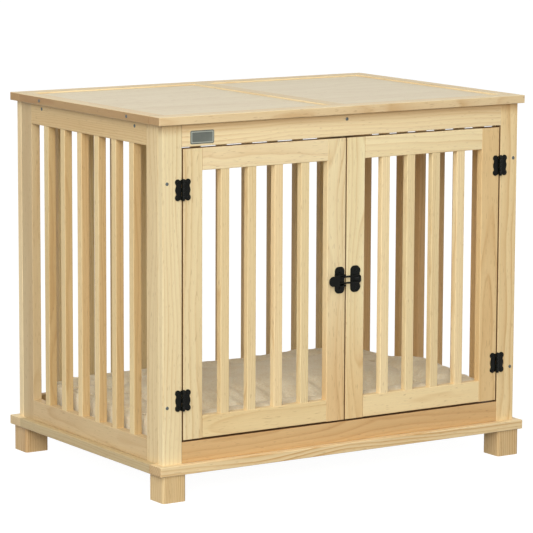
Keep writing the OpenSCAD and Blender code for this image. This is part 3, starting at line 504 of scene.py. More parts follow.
def plush_material(settings):
    """Short beige plush: clumped tufts, a brushed nap and paler tips."""
    material, make, where = finish("beige plush")
    nap = make.noise(where, scale=26.0, detail=3.0, distortion=0.6)[0]
    clump = make.noise(where, scale=210.0, detail=2.0, roughness=0.6)[0]
    tuft = make.add("ShaderNodeTexVoronoi", {"Vector": where, "Scale": 620.0},
                    feature="F1").outputs["Distance"]
    tone = make.span(make.plus(make.times(nap, 0.45), make.times(clump, 0.55)), 0.36, 0.64)
    colour = make.blend(tone, rgba(settings.dark), rgba(settings.light))
    colour = make.shaded(colour, make.span(tuft, 0.1, 0.8, 1.02, 0.92))
    make.cover(colour, make.span(clump, 0.3, 0.7, 0.98, 0.86),
               make.plus(clump, make.times(tuft, -0.35)), 0.75, 0.0016, {
                   "Specular IOR Level": 0.15, "Sheen Weight": 0.35, "Sheen Roughness": 0.5,
                   "Sheen Tint": (1.0, 0.93, 0.80, 1)})
    return material


def dress(node, material):
    """Gives a board of the frame its finish."""
    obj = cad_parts[node]
    if not obj.material_slots:
        obj.data.materials.append(material)
    for slot in obj.material_slots:
        slot.material = material


# Mesh building


def mesh_of(name, bm):
    """The mesh of a bmesh, which is freed."""
    mesh = bpy.data.meshes.new(name)
    bm.to_mesh(mesh)
    bm.free()
    return mesh


def placed(name, data):
    """An object at the origin of the scene."""
    obj = bpy.data.objects.new(name, data)
    bpy.context.scene.collection.objects.link(obj)
    return obj


def evaluated_mesh(obj):
    graph = bpy.context.evaluated_depsgraph_get()
    return bpy.data.meshes.new_from_object(obj.evaluated_get(graph), depsgraph=graph)


def taken(obj):
    """The mesh of an object with its modifiers applied. The object is removed."""
    mesh = evaluated_mesh(obj)
    obj.modifiers.clear()
    bpy.data.objects.remove(obj)
    return mesh


def smoothed(mesh, angle=None):
    """Smooth shading, with creases where faces meet at more than the angle."""
    for polygon in mesh.polygons:
        polygon.use_smooth = True
    if angle:
        mesh.set_sharp_from_angle(angle=math.radians(angle))
    return mesh


def band(bm, a, b):
    """Faces between two closed rows of vertices, of which one may be a single vertex."""
    steps = max(len(a), len(b))
    for k in range(steps):
        n = (k + 1) % steps
        if len(a) == 1:
            bm.faces.new((a[0], b[n], b[k]))
        elif len(b) == 1:
            bm.faces.new((a[k], a[n], b[0]))
        else:
            bm.faces.new((a[k], a[n], b[n], b[k]))


def merged(node):
    """A bmesh of a node of the frame with its corners merged."""
    bm = bmesh.new()
    bm.from_mesh(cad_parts[node].data)
    bmesh.ops.remove_doubles(bm, verts=bm.verts, dist=MERGE)
    return bm


def softened(node, width):
    """A copy of a node's mesh with joined flat faces and rounded edges."""
    bm = merged(node)
    bmesh.ops.dissolve_limit(bm, angle_limit=math.radians(0.6), verts=bm.verts, edges=bm.edges)
    copy = placed("copy", mesh_of(node + " copy", bm))
    bevel = copy.modifiers.new("edges", "BEVEL")
    bevel.width = width
    bevel.segments = 2
    bevel.limit_method = "ANGLE"
    bevel.angle_limit = math.radians(35)
    return smoothed(taken(copy), 32)


def new_piece(name, mesh, material, body, stands_for=None):
    """An object at the origin that rides on a body, and may stand for a node of the frame."""
    obj = placed(name, mesh)
    mesh.materials.clear()
    mesh.materials.append(material)
    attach(obj, body)
    if stands_for:
        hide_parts(stands_for)
    return obj


def grown(name, mesh, tree, values):
    """The plain mesh that a tree of geometry nodes makes of a mesh, with its inputs' values."""
    holder = bpy.data.objects.new(name, mesh)
    modifier = holder.modifiers.new("grown", "NODES")
    modifier.node_group = tree
    for item in tree.interface.items_tree:
        if item.in_out == "INPUT" and item.name in values:
            modifier[item.identifier] = values[item.name]
    bpy.context.scene.collection.objects.link(holder)
    return taken(holder)


def painted(make, geometry, start, end):
    """Ends a tree of geometry nodes: real geometry with its material."""
    real = make.add("GeometryNodeRealizeInstances", {0: geometry})
    paint = make.add("GeometryNodeSetMaterial", {
        "Geometry": real.outputs[0], "Material": start["Material"]})
    make.put(end[0], paint.outputs[0])


# Pieces


class CRATE_OT_boards(bpy.types.Operator):
    """Give every board, rail, post, slat and foot its own cut of pine"""
    bl_idname = "crate.boards"
    bl_label = "Pine boards"

    def execute(self, context):
        wood = context.scene.crate_wood
        warm, gap = tuple(wood.warm), tuple(wood.gap)

        def narrow(node, face):
            """The painted shade of a face that another board hides but for a narrow gap."""
            axis, side = face[0], int(face[1])
            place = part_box(node)[side]["XYZ".index(axis)]
            inward = 1 if side == 0 else -1
            return (axis, place + inward * 0.0006, place + inward * 0.0002, gap)

        # The overhang of the top keeps the light off the front just below it
        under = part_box("front_top_rail")[1].z
        sheltered = ("Z", under - 0.024, under - 0.001, (0.73, 0.63, 0.54))
        # The stiles that meet in the middle are darker towards their feet
        foot, head = (corner.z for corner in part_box("left_door_latch_stile"))
        tall = head - foot
        darker_lower_part = ("Z", foot + 0.58 * tall, foot + 0.04 * tall, (0.885, 0.755, 0.635))

        # The faces in the gaps that get the painted gap shade, by axis and by 0 or 1 for the low or
        # the high side
        gaps = {
            "front_left_stile": ["X1"], "front_right_stile": ["X0"], "front_bottom_rail": ["Z1"],
            "left_door_hinge_stile": ["X0", "Z1"], "left_door_latch_stile": ["X1", "Z1"],
            "left_door_top_rail": ["Z1"], "right_door_hinge_stile": ["X1", "Z1"],
            "right_door_catch_stile": ["X0", "Z1"], "right_door_top_rail": ["Z1"]}
        # Boards with a cut or a tone of their own; some of the tints are painted shade, as marked
        boards = {
            "top_front_board": dict(
                axis="X", tint=(1.03, 1.05, 1.08), edge=(0.88, 0.83, 0.79), pith=(0.075, -0.004),
                contrast=1.2, flank=("X", (0.66, 0.55, 0.45))),
            "top_back_board": dict(axis="X", flank=("X", (0.66, 0.55, 0.45))),
            "top_left_board": dict(axis="Y", edge=(0.50, 0.39, 0.29), contrast=2.0),
            "top_middle_rail": dict(axis="Y", tint=(0.95, 0.96, 0.98)),
            "front_left_stile": dict(
                axis="Z", pith=(0.05, 0.07), tint=(1.0, 1.03, 1.03),
                shades=[sheltered, ("Z", 0.40, 0.64, (0.93, 0.92, 0.90))]),
            "front_right_stile": dict(
                axis="Z", pith=(-0.02, 0.09), tint=(0.99, 0.945, 0.85), contrast=1.4,
                shades=[sheltered]),
            "front_top_rail": dict(
                axis="X", pith=(0.06, -0.05), tint=(1.02, 1.01, 0.99), shades=[sheltered]),
            "front_bottom_rail": dict(axis="X", pith=(0.05, 0.02), tint=warm),
            "back_bottom_rail": dict(axis="X", tint=(0.84, 0.76, 0.66)),
            # The boards of the left side are tinted darker: painted shade of the weaker light on
            # that side, which falls off towards the back and the top
            "left_front_stile": dict(axis="Z", pith=(0.05, 0.03), tint=(0.88, 0.86, 0.81)),
            "left_back_stile": dict(axis="Z", tint=(0.70, 0.66, 0.61)),
            "left_top_rail": dict(axis="Y", tint=(0.80, 0.735, 0.63)),
            "left_bottom_rail": dict(axis="Y", pith=(0.06, 0.01), tint=(0.74, 0.68, 0.61)),
            # Tinted darker and warmer: painted shade on the inside of the right wall
            "right_back_stile": dict(axis="Z", tint=(0.87, 0.72, 0.56)),
            "base_front_board": dict(
                axis="X", edge=(0.94, 0.89, 0.82), pith=(0.045, -0.04), contrast=2.4, ring=1.1,
                flank=("X", (0.92, 0.86, 0.78))),
            "base_left_board": dict(axis="Y", tint=(0.66, 0.64, 0.58), contrast=1.2),
            "left_door_hinge_stile": dict(axis="Z", pith=(0.03, 0.08), tint=(0.95, 0.95, 0.91)),
            "left_door_latch_stile": dict(
                axis="Z", pith=(-0.01, 0.06), tint=(1.01, 1.03, 1.02), shades=[darker_lower_part]),
            "left_door_top_rail": dict(
                axis="X", pith=(0.05, 0.01), knot=(-0.296, -0.255, 0.604), knot_size=0.0040),
            "left_door_bottom_rail": dict(axis="X", pith=(0.04, -0.006), tint=(0.94, 0.89, 0.78)),
            "right_door_hinge_stile": dict(
                axis="Z", pith=(0.0, 0.07), tint=(0.91, 0.81, 0.67), contrast=1.3),
            "right_door_catch_stile": dict(
                axis="Z", pith=(0.02, 0.05), tint=(1.06, 1.12, 1.12), shades=[darker_lower_part]),
            "right_door_top_rail": dict(axis="X", pith=(0.05, -0.03), tint=(1.06, 1.09, 1.09)),
            "right_door_bottom_rail": dict(
                axis="X", pith=(0.07, 0.0), tint=(1.02, 0.99, 0.91), contrast=0.8),
        }
        # The rest, by the way they run
        for axis, names in (
                ("X", ("back_top_rail", "base_back_board", "door_stop")),
                ("Y", ("top_right_board", "right_top_rail", "right_bottom_rail",
                       "base_right_board", "base_middle_rail")),
                ("Z", ("back_left_stile", "back_right_stile", "right_front_stile")),
                ("RING", ("top_cleats",))):
            boards.update((name, dict(axis=axis)) for name in names)
        for name, look in boards.items():
            look["shades"] = look.get("shades", []) + [
                narrow(name, face) for face in gaps.get(name, [])]
            dress(name, board_material(name, wood, **look))

        # Slats, each one a cut of its own: their node, row, width and number
        # The flank tints are painted shade on the sides of the slats, where their neighbours keep
        # the light off, and the right slats' tint is painted shade of the crate's inside
        for node, axis, width, count, look in (
                ("back_slats", "X", 0.018, 11, dict(
                    tint=(0.90, 0.90, 0.87), flank=("X", (0.90, 0.80, 0.68)))),
                ("left_slats", "Y", 0.017, 6, dict(
                    tint=(0.94, 0.91, 0.84), flank=("Y", (0.76, 0.69, 0.62)))),
                ("right_slats", "Y", 0.017, 6, dict(tint=(0.85, 0.72, 0.60))),
                ("left_door_slats", "X", 0.018, 4, dict(tint=(1.0, 0.99, 0.97))),
                ("right_door_slats", "X", 0.018, 4, dict(tint=(1.0, 0.99, 0.97)))):
            first, last = (corner["XYZ".index(axis)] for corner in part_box(node))
            pitch = (last - first - width) / (count - 1)
            row = (axis, first - (pitch - width) / 2, pitch)
            dress(node, board_material(node, wood, "Z", pitch=[row], **look))
        # The back feet and the right ones stand in shade
        dress("feet", board_material(
            "feet", wood, "Z", tint=(0.88, 0.81, 0.73), contrast=2.4, ring=0.8,
            shades=[("Y", -0.01, 0.01, (0.82, 0.77, 0.73)), ("X", -0.1, 0.1, (0.93, 0.92, 0.92))],
            pitch=[("X", -1.0, 1.0), ("Y", -1.0, 1.0)]))
        return {"FINISHED"}


class CRATE_OT_panels(bpy.types.Operator):
    """Veneer the plywood panels of the top and the floor"""
    bl_idname = "crate.panels"
    bl_label = "Plywood panels"

    def execute(self, context):
        settings = context.scene.crate_panel
        panels = "top_panel_left", "top_panel_right", "floor_panel_left", "floor_panel_right"
        for number, node in enumerate(panels):
            shift = (number * 2.3, number * 0.31, number * 0.17)
            dress(node, veneer_material(node.replace("_", " "), settings, shift))
        return {"FINISHED"}


def cross_screw(radius, height, recess, length):
    """One screw about Z: domed head on z = 0 with a cross recess, shank and point below."""
    steps, shank = 28, radius * 0.5
    profile = [(0.0, -length), (shank, -length + 0.004), (shank, -0.0004), (radius, 0.0)]
    for i in range(1, 6):
        a = math.radians(90 * i / 6)
        profile.append((radius * math.cos(a) ** 0.8, height * math.sin(a)))
    profile.append((0.0, height))
    bm = bmesh.new()
    rows = []
    for r, z in profile:
        turns = [2 * math.pi * k / steps for k in range(steps if r else 1)]
        rows.append([bm.verts.new((r * math.cos(a), r * math.sin(a), z)) for a in turns])
    for a, b in zip(rows, rows[1:]):
        band(bm, a, b)
    blank = placed("screw blank", mesh_of("screw blank", bm))

    # The driver's cross, wider at the top than at the bottom
    arm, half = radius * 0.62, radius * 0.15
    plan = []
    for turn in range(4):
        c, s = math.cos(turn * math.pi / 2), math.sin(turn * math.pi / 2)
        plan += [(x * c - y * s, x * s + y * c)
                 for x, y in ((arm, -half), (arm, half), (half, half))]
    bm = bmesh.new()
    low = [bm.verts.new((x * 0.55, y * 0.7, height - recess)) for x, y in plan]
    top = [bm.verts.new((x, y, height + 0.0005)) for x, y in plan]
    bm.faces.new(low[::-1])
    bm.faces.new(top)
    band(bm, low, top)
    bmesh.ops.recalc_face_normals(bm, faces=bm.faces)
    cross = placed("driver cross", mesh_of("driver cross", bm))
    cut = blank.modifiers.new("recess", "BOOLEAN")
    cut.operation = "DIFFERENCE"
    cut.object = cross
    cut.solver = "EXACT"
    screw = smoothed(taken(blank), 30)
    bpy.data.objects.remove(cross)
    return screw


def scatter_tree(name):
    """Puts a copy of one piece on each point, along its direction, with a turn."""
    tree, make, start, end = group(name, [
        ("Points", "Geometry", None), ("Piece", "Object", None), ("Spin", "Float", 0.0),
        ("Material", "Material", None)], [("Geometry", "Geometry")], "GeometryNodeTree")
    piece = make.add("GeometryNodeObjectInfo", {"Object": start["Piece"]})
    way = make.add("GeometryNodeInputNamedAttribute", {"Name": "direction"},
                   data_type="FLOAT_VECTOR")
    align = make.add("FunctionNodeAlignRotationToVector", {"Vector": way.outputs["Attribute"]},
                     axis="Z")
    chance = make.add("FunctionNodeRandomValue", {"Seed": 11, 3: start["Spin"]},
                      data_type="FLOAT")
    spin = make.add("FunctionNodeAxisAngleToRotation", {"Angle": chance.outputs[1]})
    turn = make.add("FunctionNodeRotateRotation", {0: align.outputs[0], 1: spin.outputs[0]},
                    rotation_space="LOCAL")
    copies = make.add("GeometryNodeInstanceOnPoints", {
        "Points": start["Points"], "Instance": piece.outputs["Geometry"],
        "Rotation": turn.outputs[0]})
    painted(make, copies.outputs[0], start, end)
    return tree


def scatter(name, places, piece, material):
    """A plain mesh of one piece copied to each (point, direction), each at a turn of its own."""
    mesh = bpy.data.meshes.new(name + " points")
    mesh.from_pydata([tuple(point) for point, _ in places], [], [])
    layer = mesh.attributes.new("direction", "FLOAT_VECTOR", "POINT")
    for item, (_, direction) in zip(layer.data, places):
        item.vector = direction
    model = bpy.data.objects.new(name + " model", piece)
    result = grown(name + " points", mesh, once("Scatter on points", scatter_tree), {
        "Piece": model, "Spin": 2 * math.pi, "Material": material})
    bpy.data.objects.remove(model)
    return result


def island_boxes(node):
    """The box of each separate solid of a node."""
    bm = merged(node)
    seen, boxes = set(), []
    for seed in bm.verts:
        if seed in seen:
            continue
        stack, points = [seed], []
        seen.add(seed)
        while stack:
            vert = stack.pop()
            points.append(vert.co.copy())
            for edge in vert.link_edges:
                other = edge.other_vert(vert)
                if other not in seen:
                    seen.add(other)
                    stack.append(other)
        boxes.append([Vector(end(p[i] for p in points) for i in range(3)) for end in (min, max)])
    bm.free()
    return boxes


class CRATE_OT_screws(bpy.types.Operator):
    """Replace the plain screws by cross-recessed ones, each turned as it was left by the driver"""
    bl_idname = "crate.screws"
    bl_label = "Screws"

    def execute(self, context):
        iron = context.scene.crate_iron
        lacquer = lacquer_material(iron)
        for node, body, metal, slot in (
                ("frame_screws", "crate", zinc_material(), "bare_metal"),
                ("hinge_screws", "crate", lacquer, "black_metal"),
                ("left_door_screws", "left_door", lacquer, "black_metal"),
                ("right_door_screws", "right_door", lacquer, "black_metal")):
            kinds = {}
            for low, high in island_boxes(node):
                # A screw points its head to the front, or away from the middle at the sides
                size, middle = high - low, (low + high) / 2
                axis = max(range(3), key=lambda i: size[i])
                radius = max(size[i] for i in range(3) if i != axis) / 2
                outward = (0, -1, 0) if axis == 1 else (1 if middle.x > 0 else -1, 0, 0)
                height = LOW_DOME if radius < SMALL_HEAD else HIGH_DOME
                head = Vector(middle)
                head[axis] = (high if outward[axis] > 0 else low)[axis] - outward[axis] * height
                kind = (round(radius, 5), height, round(size[axis] - height, 4))
                kinds.setdefault(kind, []).append((head, Vector(outward)))
            bm = bmesh.new()
            for (radius, height, length), places in sorted(kinds.items()):
                screw = cross_screw(radius, height, iron.recess, length)
                bm.from_mesh(scatter(node, places, screw, metal))
            whole = smoothed(mesh_of(node, bm), 30)
            new_piece(node + "_recessed", whole, metal, body, node)
        return {"FINISHED"}


class CRATE_OT_ironwork(bpy.types.Operator):
    """Round the stamped edges of the hinges and of the latch, and lacquer them black"""
    bl_idname = "crate.ironwork"
    bl_label = "Hinges and latch"

    def execute(self, context):
        iron = context.scene.crate_iron
        for node, body in (
                ("hinge_frame_leaves", "crate"), ("hinge_pins", "crate"),
                ("left_door_hinge_leaves", "left_door"), ("right_door_hinge_leaves", "right_door"),
                ("latch_base", "left_door"), ("latch_lever", "latch_lever"),
                ("latch_loop", "latch_loop"), ("latch_catch", "right_door")):
            new_piece(node + "_lacquered", softened(node, iron.edge), lacquer_material(iron),
                      body, node)
        return {"FINISHED"}


def rounded_rectangle(half_x, half_y, radius, per_corner):
    """Points round a rectangle with round corners, each with its outward direction."""
    points = []
    for quarter in range(4):
        cx = (half_x - radius) * (1 if quarter in (0, 3) else -1)
        cy = (half_y - radius) * (1 if quarter in (0, 1) else -1)
        for i in range(per_corner + 1):
            a = math.radians(90 * (quarter + i / per_corner))
            out = (math.cos(a), math.sin(a))
            points.append(((cx + radius * out[0], cy + radius * out[1]), out))
    return points


class CRATE_OT_badge(bpy.types.Operator):
    """Make the blank badge: a flat rim, a raised bead and a brushed field inside it"""
    bl_idname = "crate.badge"
    bl_label = "Badge"

    def execute(self, context):
        low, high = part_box("badge_plate")
        middle, half, thick = (low + high) / 2, (high - low) / 2, high.y - low.y
        corner, flange, border, edge, sink = 0.003, 0.0018, 0.0036, 0.0003, 0.0004
        sunk = thick - sink
        profile = [(0.0, 0.0), (0.0, sunk - edge), (edge, sunk), (flange, sunk),
                   (flange + edge, thick), (border - edge, thick), (border, sunk)]
        bm = bmesh.new()
        rows = []
        for inset, raised in profile:
            plan = rounded_rectangle(half.x - inset, half.z - inset, max(corner - inset, 0.001), 8)
            rows.append([bm.verts.new((middle.x + x, high.y - raised, middle.z + z))
                         for (x, z), _ in plan])
        for a, b in zip(rows, rows[1:]):
            band(bm, a, b)
        bm.faces.new(rows[0])
        bm.faces.new(rows[-1])
        bmesh.ops.recalc_face_normals(bm, faces=bm.faces)
        new_piece("blank_badge", smoothed(mesh_of("badge", bm), 50), badge_material(low.y),
                  "crate", "badge_plate")
        return {"FINISHED"}


def inset_distance(x, y):
    """How far a point lies inside the rounded outline of the cushion."""
    qx, qy = abs(x) - (HALF_X - CORNER), abs(y) - (HALF_Y - CORNER)
    outside = math.hypot(max(qx, 0), max(qy, 0)) + min(max(qx, qy), 0)
    return CORNER - outside


def outline(inset, steps):
    """Points at one inset inside the outline, evenly spaced, with their outward directions."""
    plan = rounded_rectangle(HALF_X - inset, HALF_Y - inset, max(CORNER - inset, 0.02), 12)
    dense = [(Vector((*point, 0)), Vector((*out, 0))) for point, out in plan]
    lengths = [0]
    for (a, _), (b, _) in zip(dense, dense[1:] + dense[:1]):
        lengths.append(lengths[-1] + (b - a).length)
    points = []
    k = 0
    for i in range(steps):
        want = lengths[-1] * i / steps
        while lengths[k + 1] < want:
            k += 1
        (a, na), (b, nb) = dense[k], dense[(k + 1) % len(dense)]
        t = (want - lengths[k]) / max(lengths[k + 1] - lengths[k], 1e-9)
        points.append((a.lerp(b, t), na.lerp(nb, t).normalized()))
    return points


def cushion_blank():
    """The sewn cover before it is filled: a border round a middle pad, with a boxed side."""
    bm = bmesh.new()
    steps = 150
    # Each row by its inset and height, from the underside round the side to the middle pad
    profile = [
        (0.16, FLOOR), (0.06, FLOOR), (0.012, FLOOR), (0.0, FLOOR + 0.010), (0.0, FLOOR + 0.034),
        (0.0, RIM - 0.008), (0.006, RIM), (0.030, RIM + 0.005), (0.060, RIM + 0.002),
        (CHANNEL, RIM - 0.010), (CHANNEL + 0.028, RIM + 0.004), (CHANNEL + 0.075, RIM + 0.011),
        (0.18, RIM + 0.014)]
    rows = []
    for inset, z in profile:
        row = []
        for point, out in outline(inset, steps):
            wave = noise.noise(Vector((point.x * 7, point.y * 7, 3.1))) * 0.0035
            swell = 0
            if z > FLOOR + 0.02:
                swell = noise.noise(Vector((point.x * 5 + 9, point.y * 5, z * 6))) * 0.004
            row.append(bm.verts.new(point + out * wave + Vector((0, 0, z + swell))))
        rows.append(row)
    for a, b in zip(rows, rows[1:]):
        band(bm, a, b)
    for row, flip in ((rows[0], True), (rows[-1], False)):
        centre = bm.verts.new(sum((v.co for v in row), Vector()) / steps)
        for k in range(steps):
            n = (k + 1) % steps
            bm.faces.new((centre, row[n], row[k]) if flip else (centre, row[k], row[n]))
    bmesh.ops.recalc_face_normals(bm, faces=bm.faces)
    return mesh_of("cushion blank", bm)


def rise(value, start, length):
    """0 up to the start, and 1 from a length after it."""
    return max(0.0, min(1.0, (value - start) / length))


def fill_cover(cover, settings):
    """Cloth simulation: the filling swells the cover, which its seams and its floor hold."""
    scene = bpy.context.scene
    start = [v.co.copy() for v in cover.data.vertices]
    held = cover.vertex_groups.new(name="seams")
    for v in cover.data.vertices:
        x, y, z = v.co
        deep = inset_distance(x, y)
        on_channel = abs(deep - CHANNEL) < 0.005 and z > RIM - 0.03
        on_piping = deep < 0.012 and (abs(z - RIM) < 0.006 or z < FLOOR + 0.006)
        if on_channel or on_piping or z < FLOOR + 0.001:
            held.add([v.index], 1.0, "REPLACE")
    cloth = cover.modifiers.new("cloth", "CLOTH")
    for key, value in dict(
            quality=5, use_pressure=True, uniform_pressure_force=settings.pressure,
            vertex_group_mass="seams", shrink_min=-0.06, tension_stiffness=12,
            compression_stiffness=12, bending_stiffness=0.3).items():
        setattr(cloth.settings, key, value)
    cloth.settings.effector_weights.gravity = 0
    cloth.point_cache.frame_start = 1
    cloth.point_cache.frame_end = CLOTH_STEPS
    for step in range(1, CLOTH_STEPS + 1):
        scene.frame_set(step)
    settled = evaluated_mesh(cover)
    cover.modifiers.clear()
    for v, w, at in zip(cover.data.vertices, settled.vertices, start):
        move = w.co - at
        if move.length > settings.cap:
            move *= settings.cap / move.length
        v.co = at + move
    bpy.data.meshes.remove(settled)
    scene.frame_set(1)


def fold_cover(cover):
    """Folds that the filling leaves: short puckers along the seams, longer ones at the left."""
    for v in cover.data.vertices:
        x, y, z = v.co
        deep = inset_distance(x, y)
        if z > FLOOR + 0.012:
            way = math.atan2(y / HALF_Y, x / HALF_X)
            pucker = noise.noise(Vector((math.cos(way) * 14, math.sin(way) * 11, 0.4)))
            near = math.exp(-((deep - CHANNEL) / 0.030) ** 2)
            near += 0.8 * math.exp(-(deep / 0.022) ** 2)
            v.co.z += pucker * near * 0.0030
            left = rise(-x, 0.20, 0.14)
            fold = math.sin(y * 82 + 4 * noise.noise(Vector((x * 8, y * 5, 1.7))))
            v.co.z += left * left * fold * 0.0034 * (1 if z > RIM - 0.02 else 0.3)
            # The filling has moved to the right end and to the back
            right = rise(x, 0.24, 0.1)
            v.co.z += right * 0.018 * math.exp(-((y + 0.05) / 0.11) ** 2)
            v.co.z += rise(y, 0.10, 0.06) * (0.004 * rise(x, 0.09, 0.03) - 0.005 * right)
        v.co.z = max(v.co.z, FLOOR)
        v.co.x = max(-REACH_X, min(REACH_X, v.co.x))
        v.co.y = max(-REACH_Y, min(REACH_Y, v.co.y))


def piping_tree(name):
    """Turns a closed path into a round cord."""
    tree, make, start, end = group(name, [
        ("Path", "Geometry", None), ("Radius", "Float", 0.0), ("Spacing", "Float", 0.0),
        ("Material", "Material", None)], [("Geometry", "Geometry")], "GeometryNodeTree")
    curve = make.add("GeometryNodeMeshToCurve", {0: start["Path"]})
    even = make.add("GeometryNodeResampleCurve", {
        "Curve": curve.outputs[0], "Length": start["Spacing"]}, mode="LENGTH")
    ring = make.add("GeometryNodeCurvePrimitiveCircle", {
        "Resolution": 8, "Radius": start["Radius"]})
    sweep = make.add("GeometryNodeCurveToMesh", {
        "Curve": even.outputs[0], "Profile Curve": ring.outputs["Curve"]})
    smooth = make.add("GeometryNodeSetShadeSmooth", {0: sweep.outputs[0]})
    painted(make, smooth.outputs[0], start, end)
    return tree


def piping_mesh(name, points, radius, material):
    """A cord of the radius through a closed row of points."""
    mesh = bpy.data.meshes.new(name + " path")
    count = len(points)
    mesh.from_pydata([tuple(p) for p in points], [(k, (k + 1) % count) for k in range(count)], [])
    return grown(name + " path", mesh, once("Piping along a path", piping_tree), {
        "Radius": radius, "Spacing": 0.006, "Material": material})


class CRATE_OT_cushion(bpy.types.Operator):
    """Fill the cushion, let its cover settle, and sew its seams"""
    bl_idname = "crate.cushion"
    bl_label = "Cushion"

    def execute(self, context):
        settings = context.scene.crate_cushion
        blank = placed("cushion blank", cushion_blank())
        remesh = blank.modifiers.new("voxels", "REMESH")
        remesh.mode = "VOXEL"
        remesh.voxel_size = VOXEL
        cover = placed("cover", taken(blank))
        fill_cover(cover, settings)
        fold_cover(cover)
        smoothed(cover.data)
        cover.modifiers.new("smooth", "SMOOTH").iterations = 2
        surface = BVHTree.FromObject(cover, context.evaluated_depsgraph_get())

        # The seams follow the cover where it has settled. Each by its name, its inset, its
        # height, the radius of its cord and how far that stands out of the cover
        seams = []
        for name, inset, z, radius, proud in (
                ("cushion_channel", CHANNEL, None, 0.0011, 0.0004),
                ("cushion_top_piping", 0.004, RIM, 0.0026, 0.0008),
                ("cushion_bottom_piping", 0.004, FLOOR + 0.006, 0.0026, 0.0008)):
            path = []
            for point, out in outline(inset, SEAM_POINTS):
                if z is None:
                    hit = surface.ray_cast(point + Vector((0, 0, 0.3)), Vector((0, 0, -1)))
                else:
                    hit = surface.ray_cast(point + out * 0.1 + Vector((0, 0, z)), -out)
                if hit[0] is None:
                    raise RuntimeError("A seam of the cushion misses its cover")
                path.append(hit[0] + hit[1] * proud)
            seams.append((name, path, radius))
        plush = plush_material(settings)
        cushion = new_piece("cushion_cover", smoothed(taken(cover)), plush, "crate",
                            "cushion")
        spread = cushion.modifiers.new("cover", "SUBSURF")
        spread.levels = spread.render_levels = 1
        for name, path, radius in seams:
            piping = piping_mesh(name, path, radius, plush)
            new_piece(name, piping, plush, "crate")
        return {"FINISHED"}


def seen_share(make):
    """1 for what the camera sees, also mirrored or through glass, and 0 for light on things."""
    path = make.add("ShaderNodeLightPath").outputs
    clear = make.highest(path["Is Glossy Ray"], path["Is Transmission Ray"])
    return make.highest(path["Is Camera Ray"], clear)


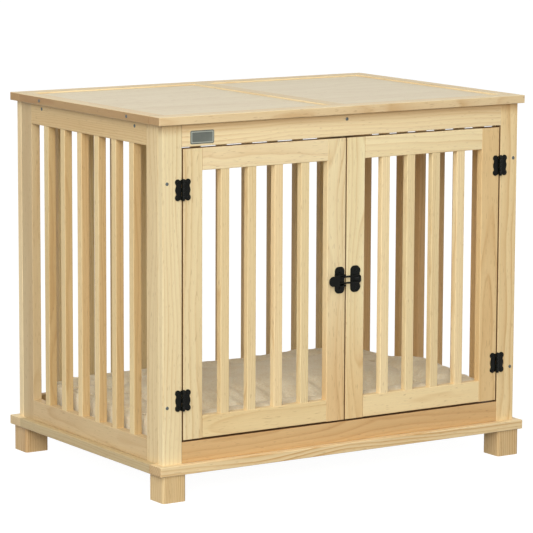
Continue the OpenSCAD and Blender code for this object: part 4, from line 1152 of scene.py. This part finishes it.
class CRATE_OT_stage(bpy.types.Operator):
    """Set up the pale floor, the soft lights and the camera"""
    bl_idname = "crate.stage"
    bl_label = "Stage"

    def execute(self, context):
        settings = context.scene.crate_stage
        scene = context.scene
        scene.view_settings.view_transform = "Standard"

        bm = bmesh.new()
        bmesh.ops.create_grid(bm, x_segments=1, y_segments=1, size=45.0)
        floor = placed("floor", mesh_of("floor", bm))
        floor.location.z = -0.0005
        paper = bpy.data.materials.new("studio paper")
        paper.use_nodes = True
        make = Maker(paper.node_tree)
        shader = paper.node_tree.nodes["Principled BSDF"]
        shader.inputs["Roughness"].default_value = 0.9
        seen = seen_share(make)
        make.put(shader.inputs["Base Color"],
                 make.blend(seen, (0.30, 0.29, 0.28, 1), (0.9, 0.9, 0.9, 1)))
        glow = make.add("ShaderNodeEmission", {"Color": WHITE, "Strength": 1.2})
        mix = make.add("ShaderNodeMixShader", {
            0: make.times(seen, 0.8), 1: shader.outputs[0], 2: glow.outputs[0]})
        output = paper.node_tree.nodes["Material Output"]
        make.put(output.inputs["Surface"], mix.outputs[0])
        floor.data.materials.append(paper)

        world = bpy.data.worlds.new("studio")
        scene.world = world
        world.use_nodes = True
        make = Maker(world.node_tree)
        back = world.node_tree.nodes["Background"]
        make.put(back.inputs["Strength"],
                 make.span(seen_share(make), 0.0, 1.0, settings.fill, 1.05))
        back.inputs["Color"].default_value = WHITE

        for name, place, size in (
                ("key", (-3.5, -3.5, 5.3), (4.0, 3.3)), ("front", (-4.1, -5.25, 2.5), (3.0, 2.3)),
                ("side", (-5.7, -2.07, 3.85), (3.6, 3.0)), ("back", (5.9, 2.9, 1.1), (3.0, 1.6))):
            light = bpy.data.lights.new(name, "AREA")
            light.shape = "RECTANGLE"
            light.size, light.size_y = size
            light.energy = getattr(settings, name)
            lamp = placed(name, light)
            lamp.location = place
            aim = Vector(LOOKED_AT) - Vector(place)
            lamp.rotation_euler = aim.to_track_quat("-Z", "Y").to_euler()

        camera = bpy.data.cameras.new("camera")
        camera.sensor_width = 36
        camera.lens = FOCAL / PHOTO_SIDE * camera.sensor_width
        camera.clip_end = 60
        holder = bpy.data.objects.new("camera", camera)
        yaw, pitch, roll = math.radians(YAW), math.radians(PITCH), math.radians(ROLL)
        forward = Vector((math.sin(yaw) * math.cos(pitch), math.cos(yaw) * math.cos(pitch),
                          -math.sin(pitch)))
        level = Vector((math.cos(yaw), -math.sin(yaw), 0))
        upright = level.cross(forward)
        right = level * math.cos(roll) + upright * math.sin(roll)
        up = upright * math.cos(roll) - level * math.sin(roll)
        holder.matrix_world = Matrix((right, up, -forward)).transposed().to_4x4()
        holder.location = CAMERA_PLACE
        scene.collection.objects.link(holder)
        scene.camera = holder
        return {"FINISHED"}


class CRATE_PT_panel(bpy.types.Panel):
    """Shows the settings of the crate and a button for each step"""
    bl_idname = "CRATE_PT_panel"
    bl_label = "Pine crate"
    bl_space_type = "VIEW_3D"
    bl_region_type = "UI"
    bl_category = "Crate"

    def draw(self, context):
        for name, (title, _) in SETTINGS.items():
            settings = getattr(context.scene, name)
            box = self.layout.box()
            box.label(text=title)
            for key in settings.__annotations__:
                box.prop(settings, key)
        for step in STEPS:
            self.layout.operator(step.bl_idname)


SETTINGS = {
    "crate_wood": ("Wood", CrateWoodSettings),
    "crate_panel": ("Panels", CratePanelSettings),
    "crate_iron": ("Ironwork", CrateIronSettings),
    "crate_cushion": ("Cushion", CrateCushionSettings),
    "crate_stage": ("Stage", CrateStageSettings)}
STEPS = (CRATE_OT_boards, CRATE_OT_panels, CRATE_OT_screws, CRATE_OT_ironwork, CRATE_OT_badge,
         CRATE_OT_cushion, CRATE_OT_stage)
CLASSES = (*(settings for _, settings in SETTINGS.values()), *STEPS, CRATE_PT_panel)


def register():
    for cls in CLASSES:
        bpy.utils.register_class(cls)
    for name, (_, settings) in SETTINGS.items():
        setattr(bpy.types.Scene, name, PointerProperty(type=settings))


def unregister():
    for name in SETTINGS:
        delattr(bpy.types.Scene, name)
    for cls in reversed(CLASSES):
        bpy.utils.unregister_class(cls)


def main():
    register()
    bpy.ops.crate.boards()
    bpy.ops.crate.panels()
    bpy.ops.crate.screws()
    bpy.ops.crate.ironwork()
    bpy.ops.crate.badge()
    bpy.ops.crate.cushion()
    bpy.ops.crate.stage()


if __name__ == "__main__":
    main()
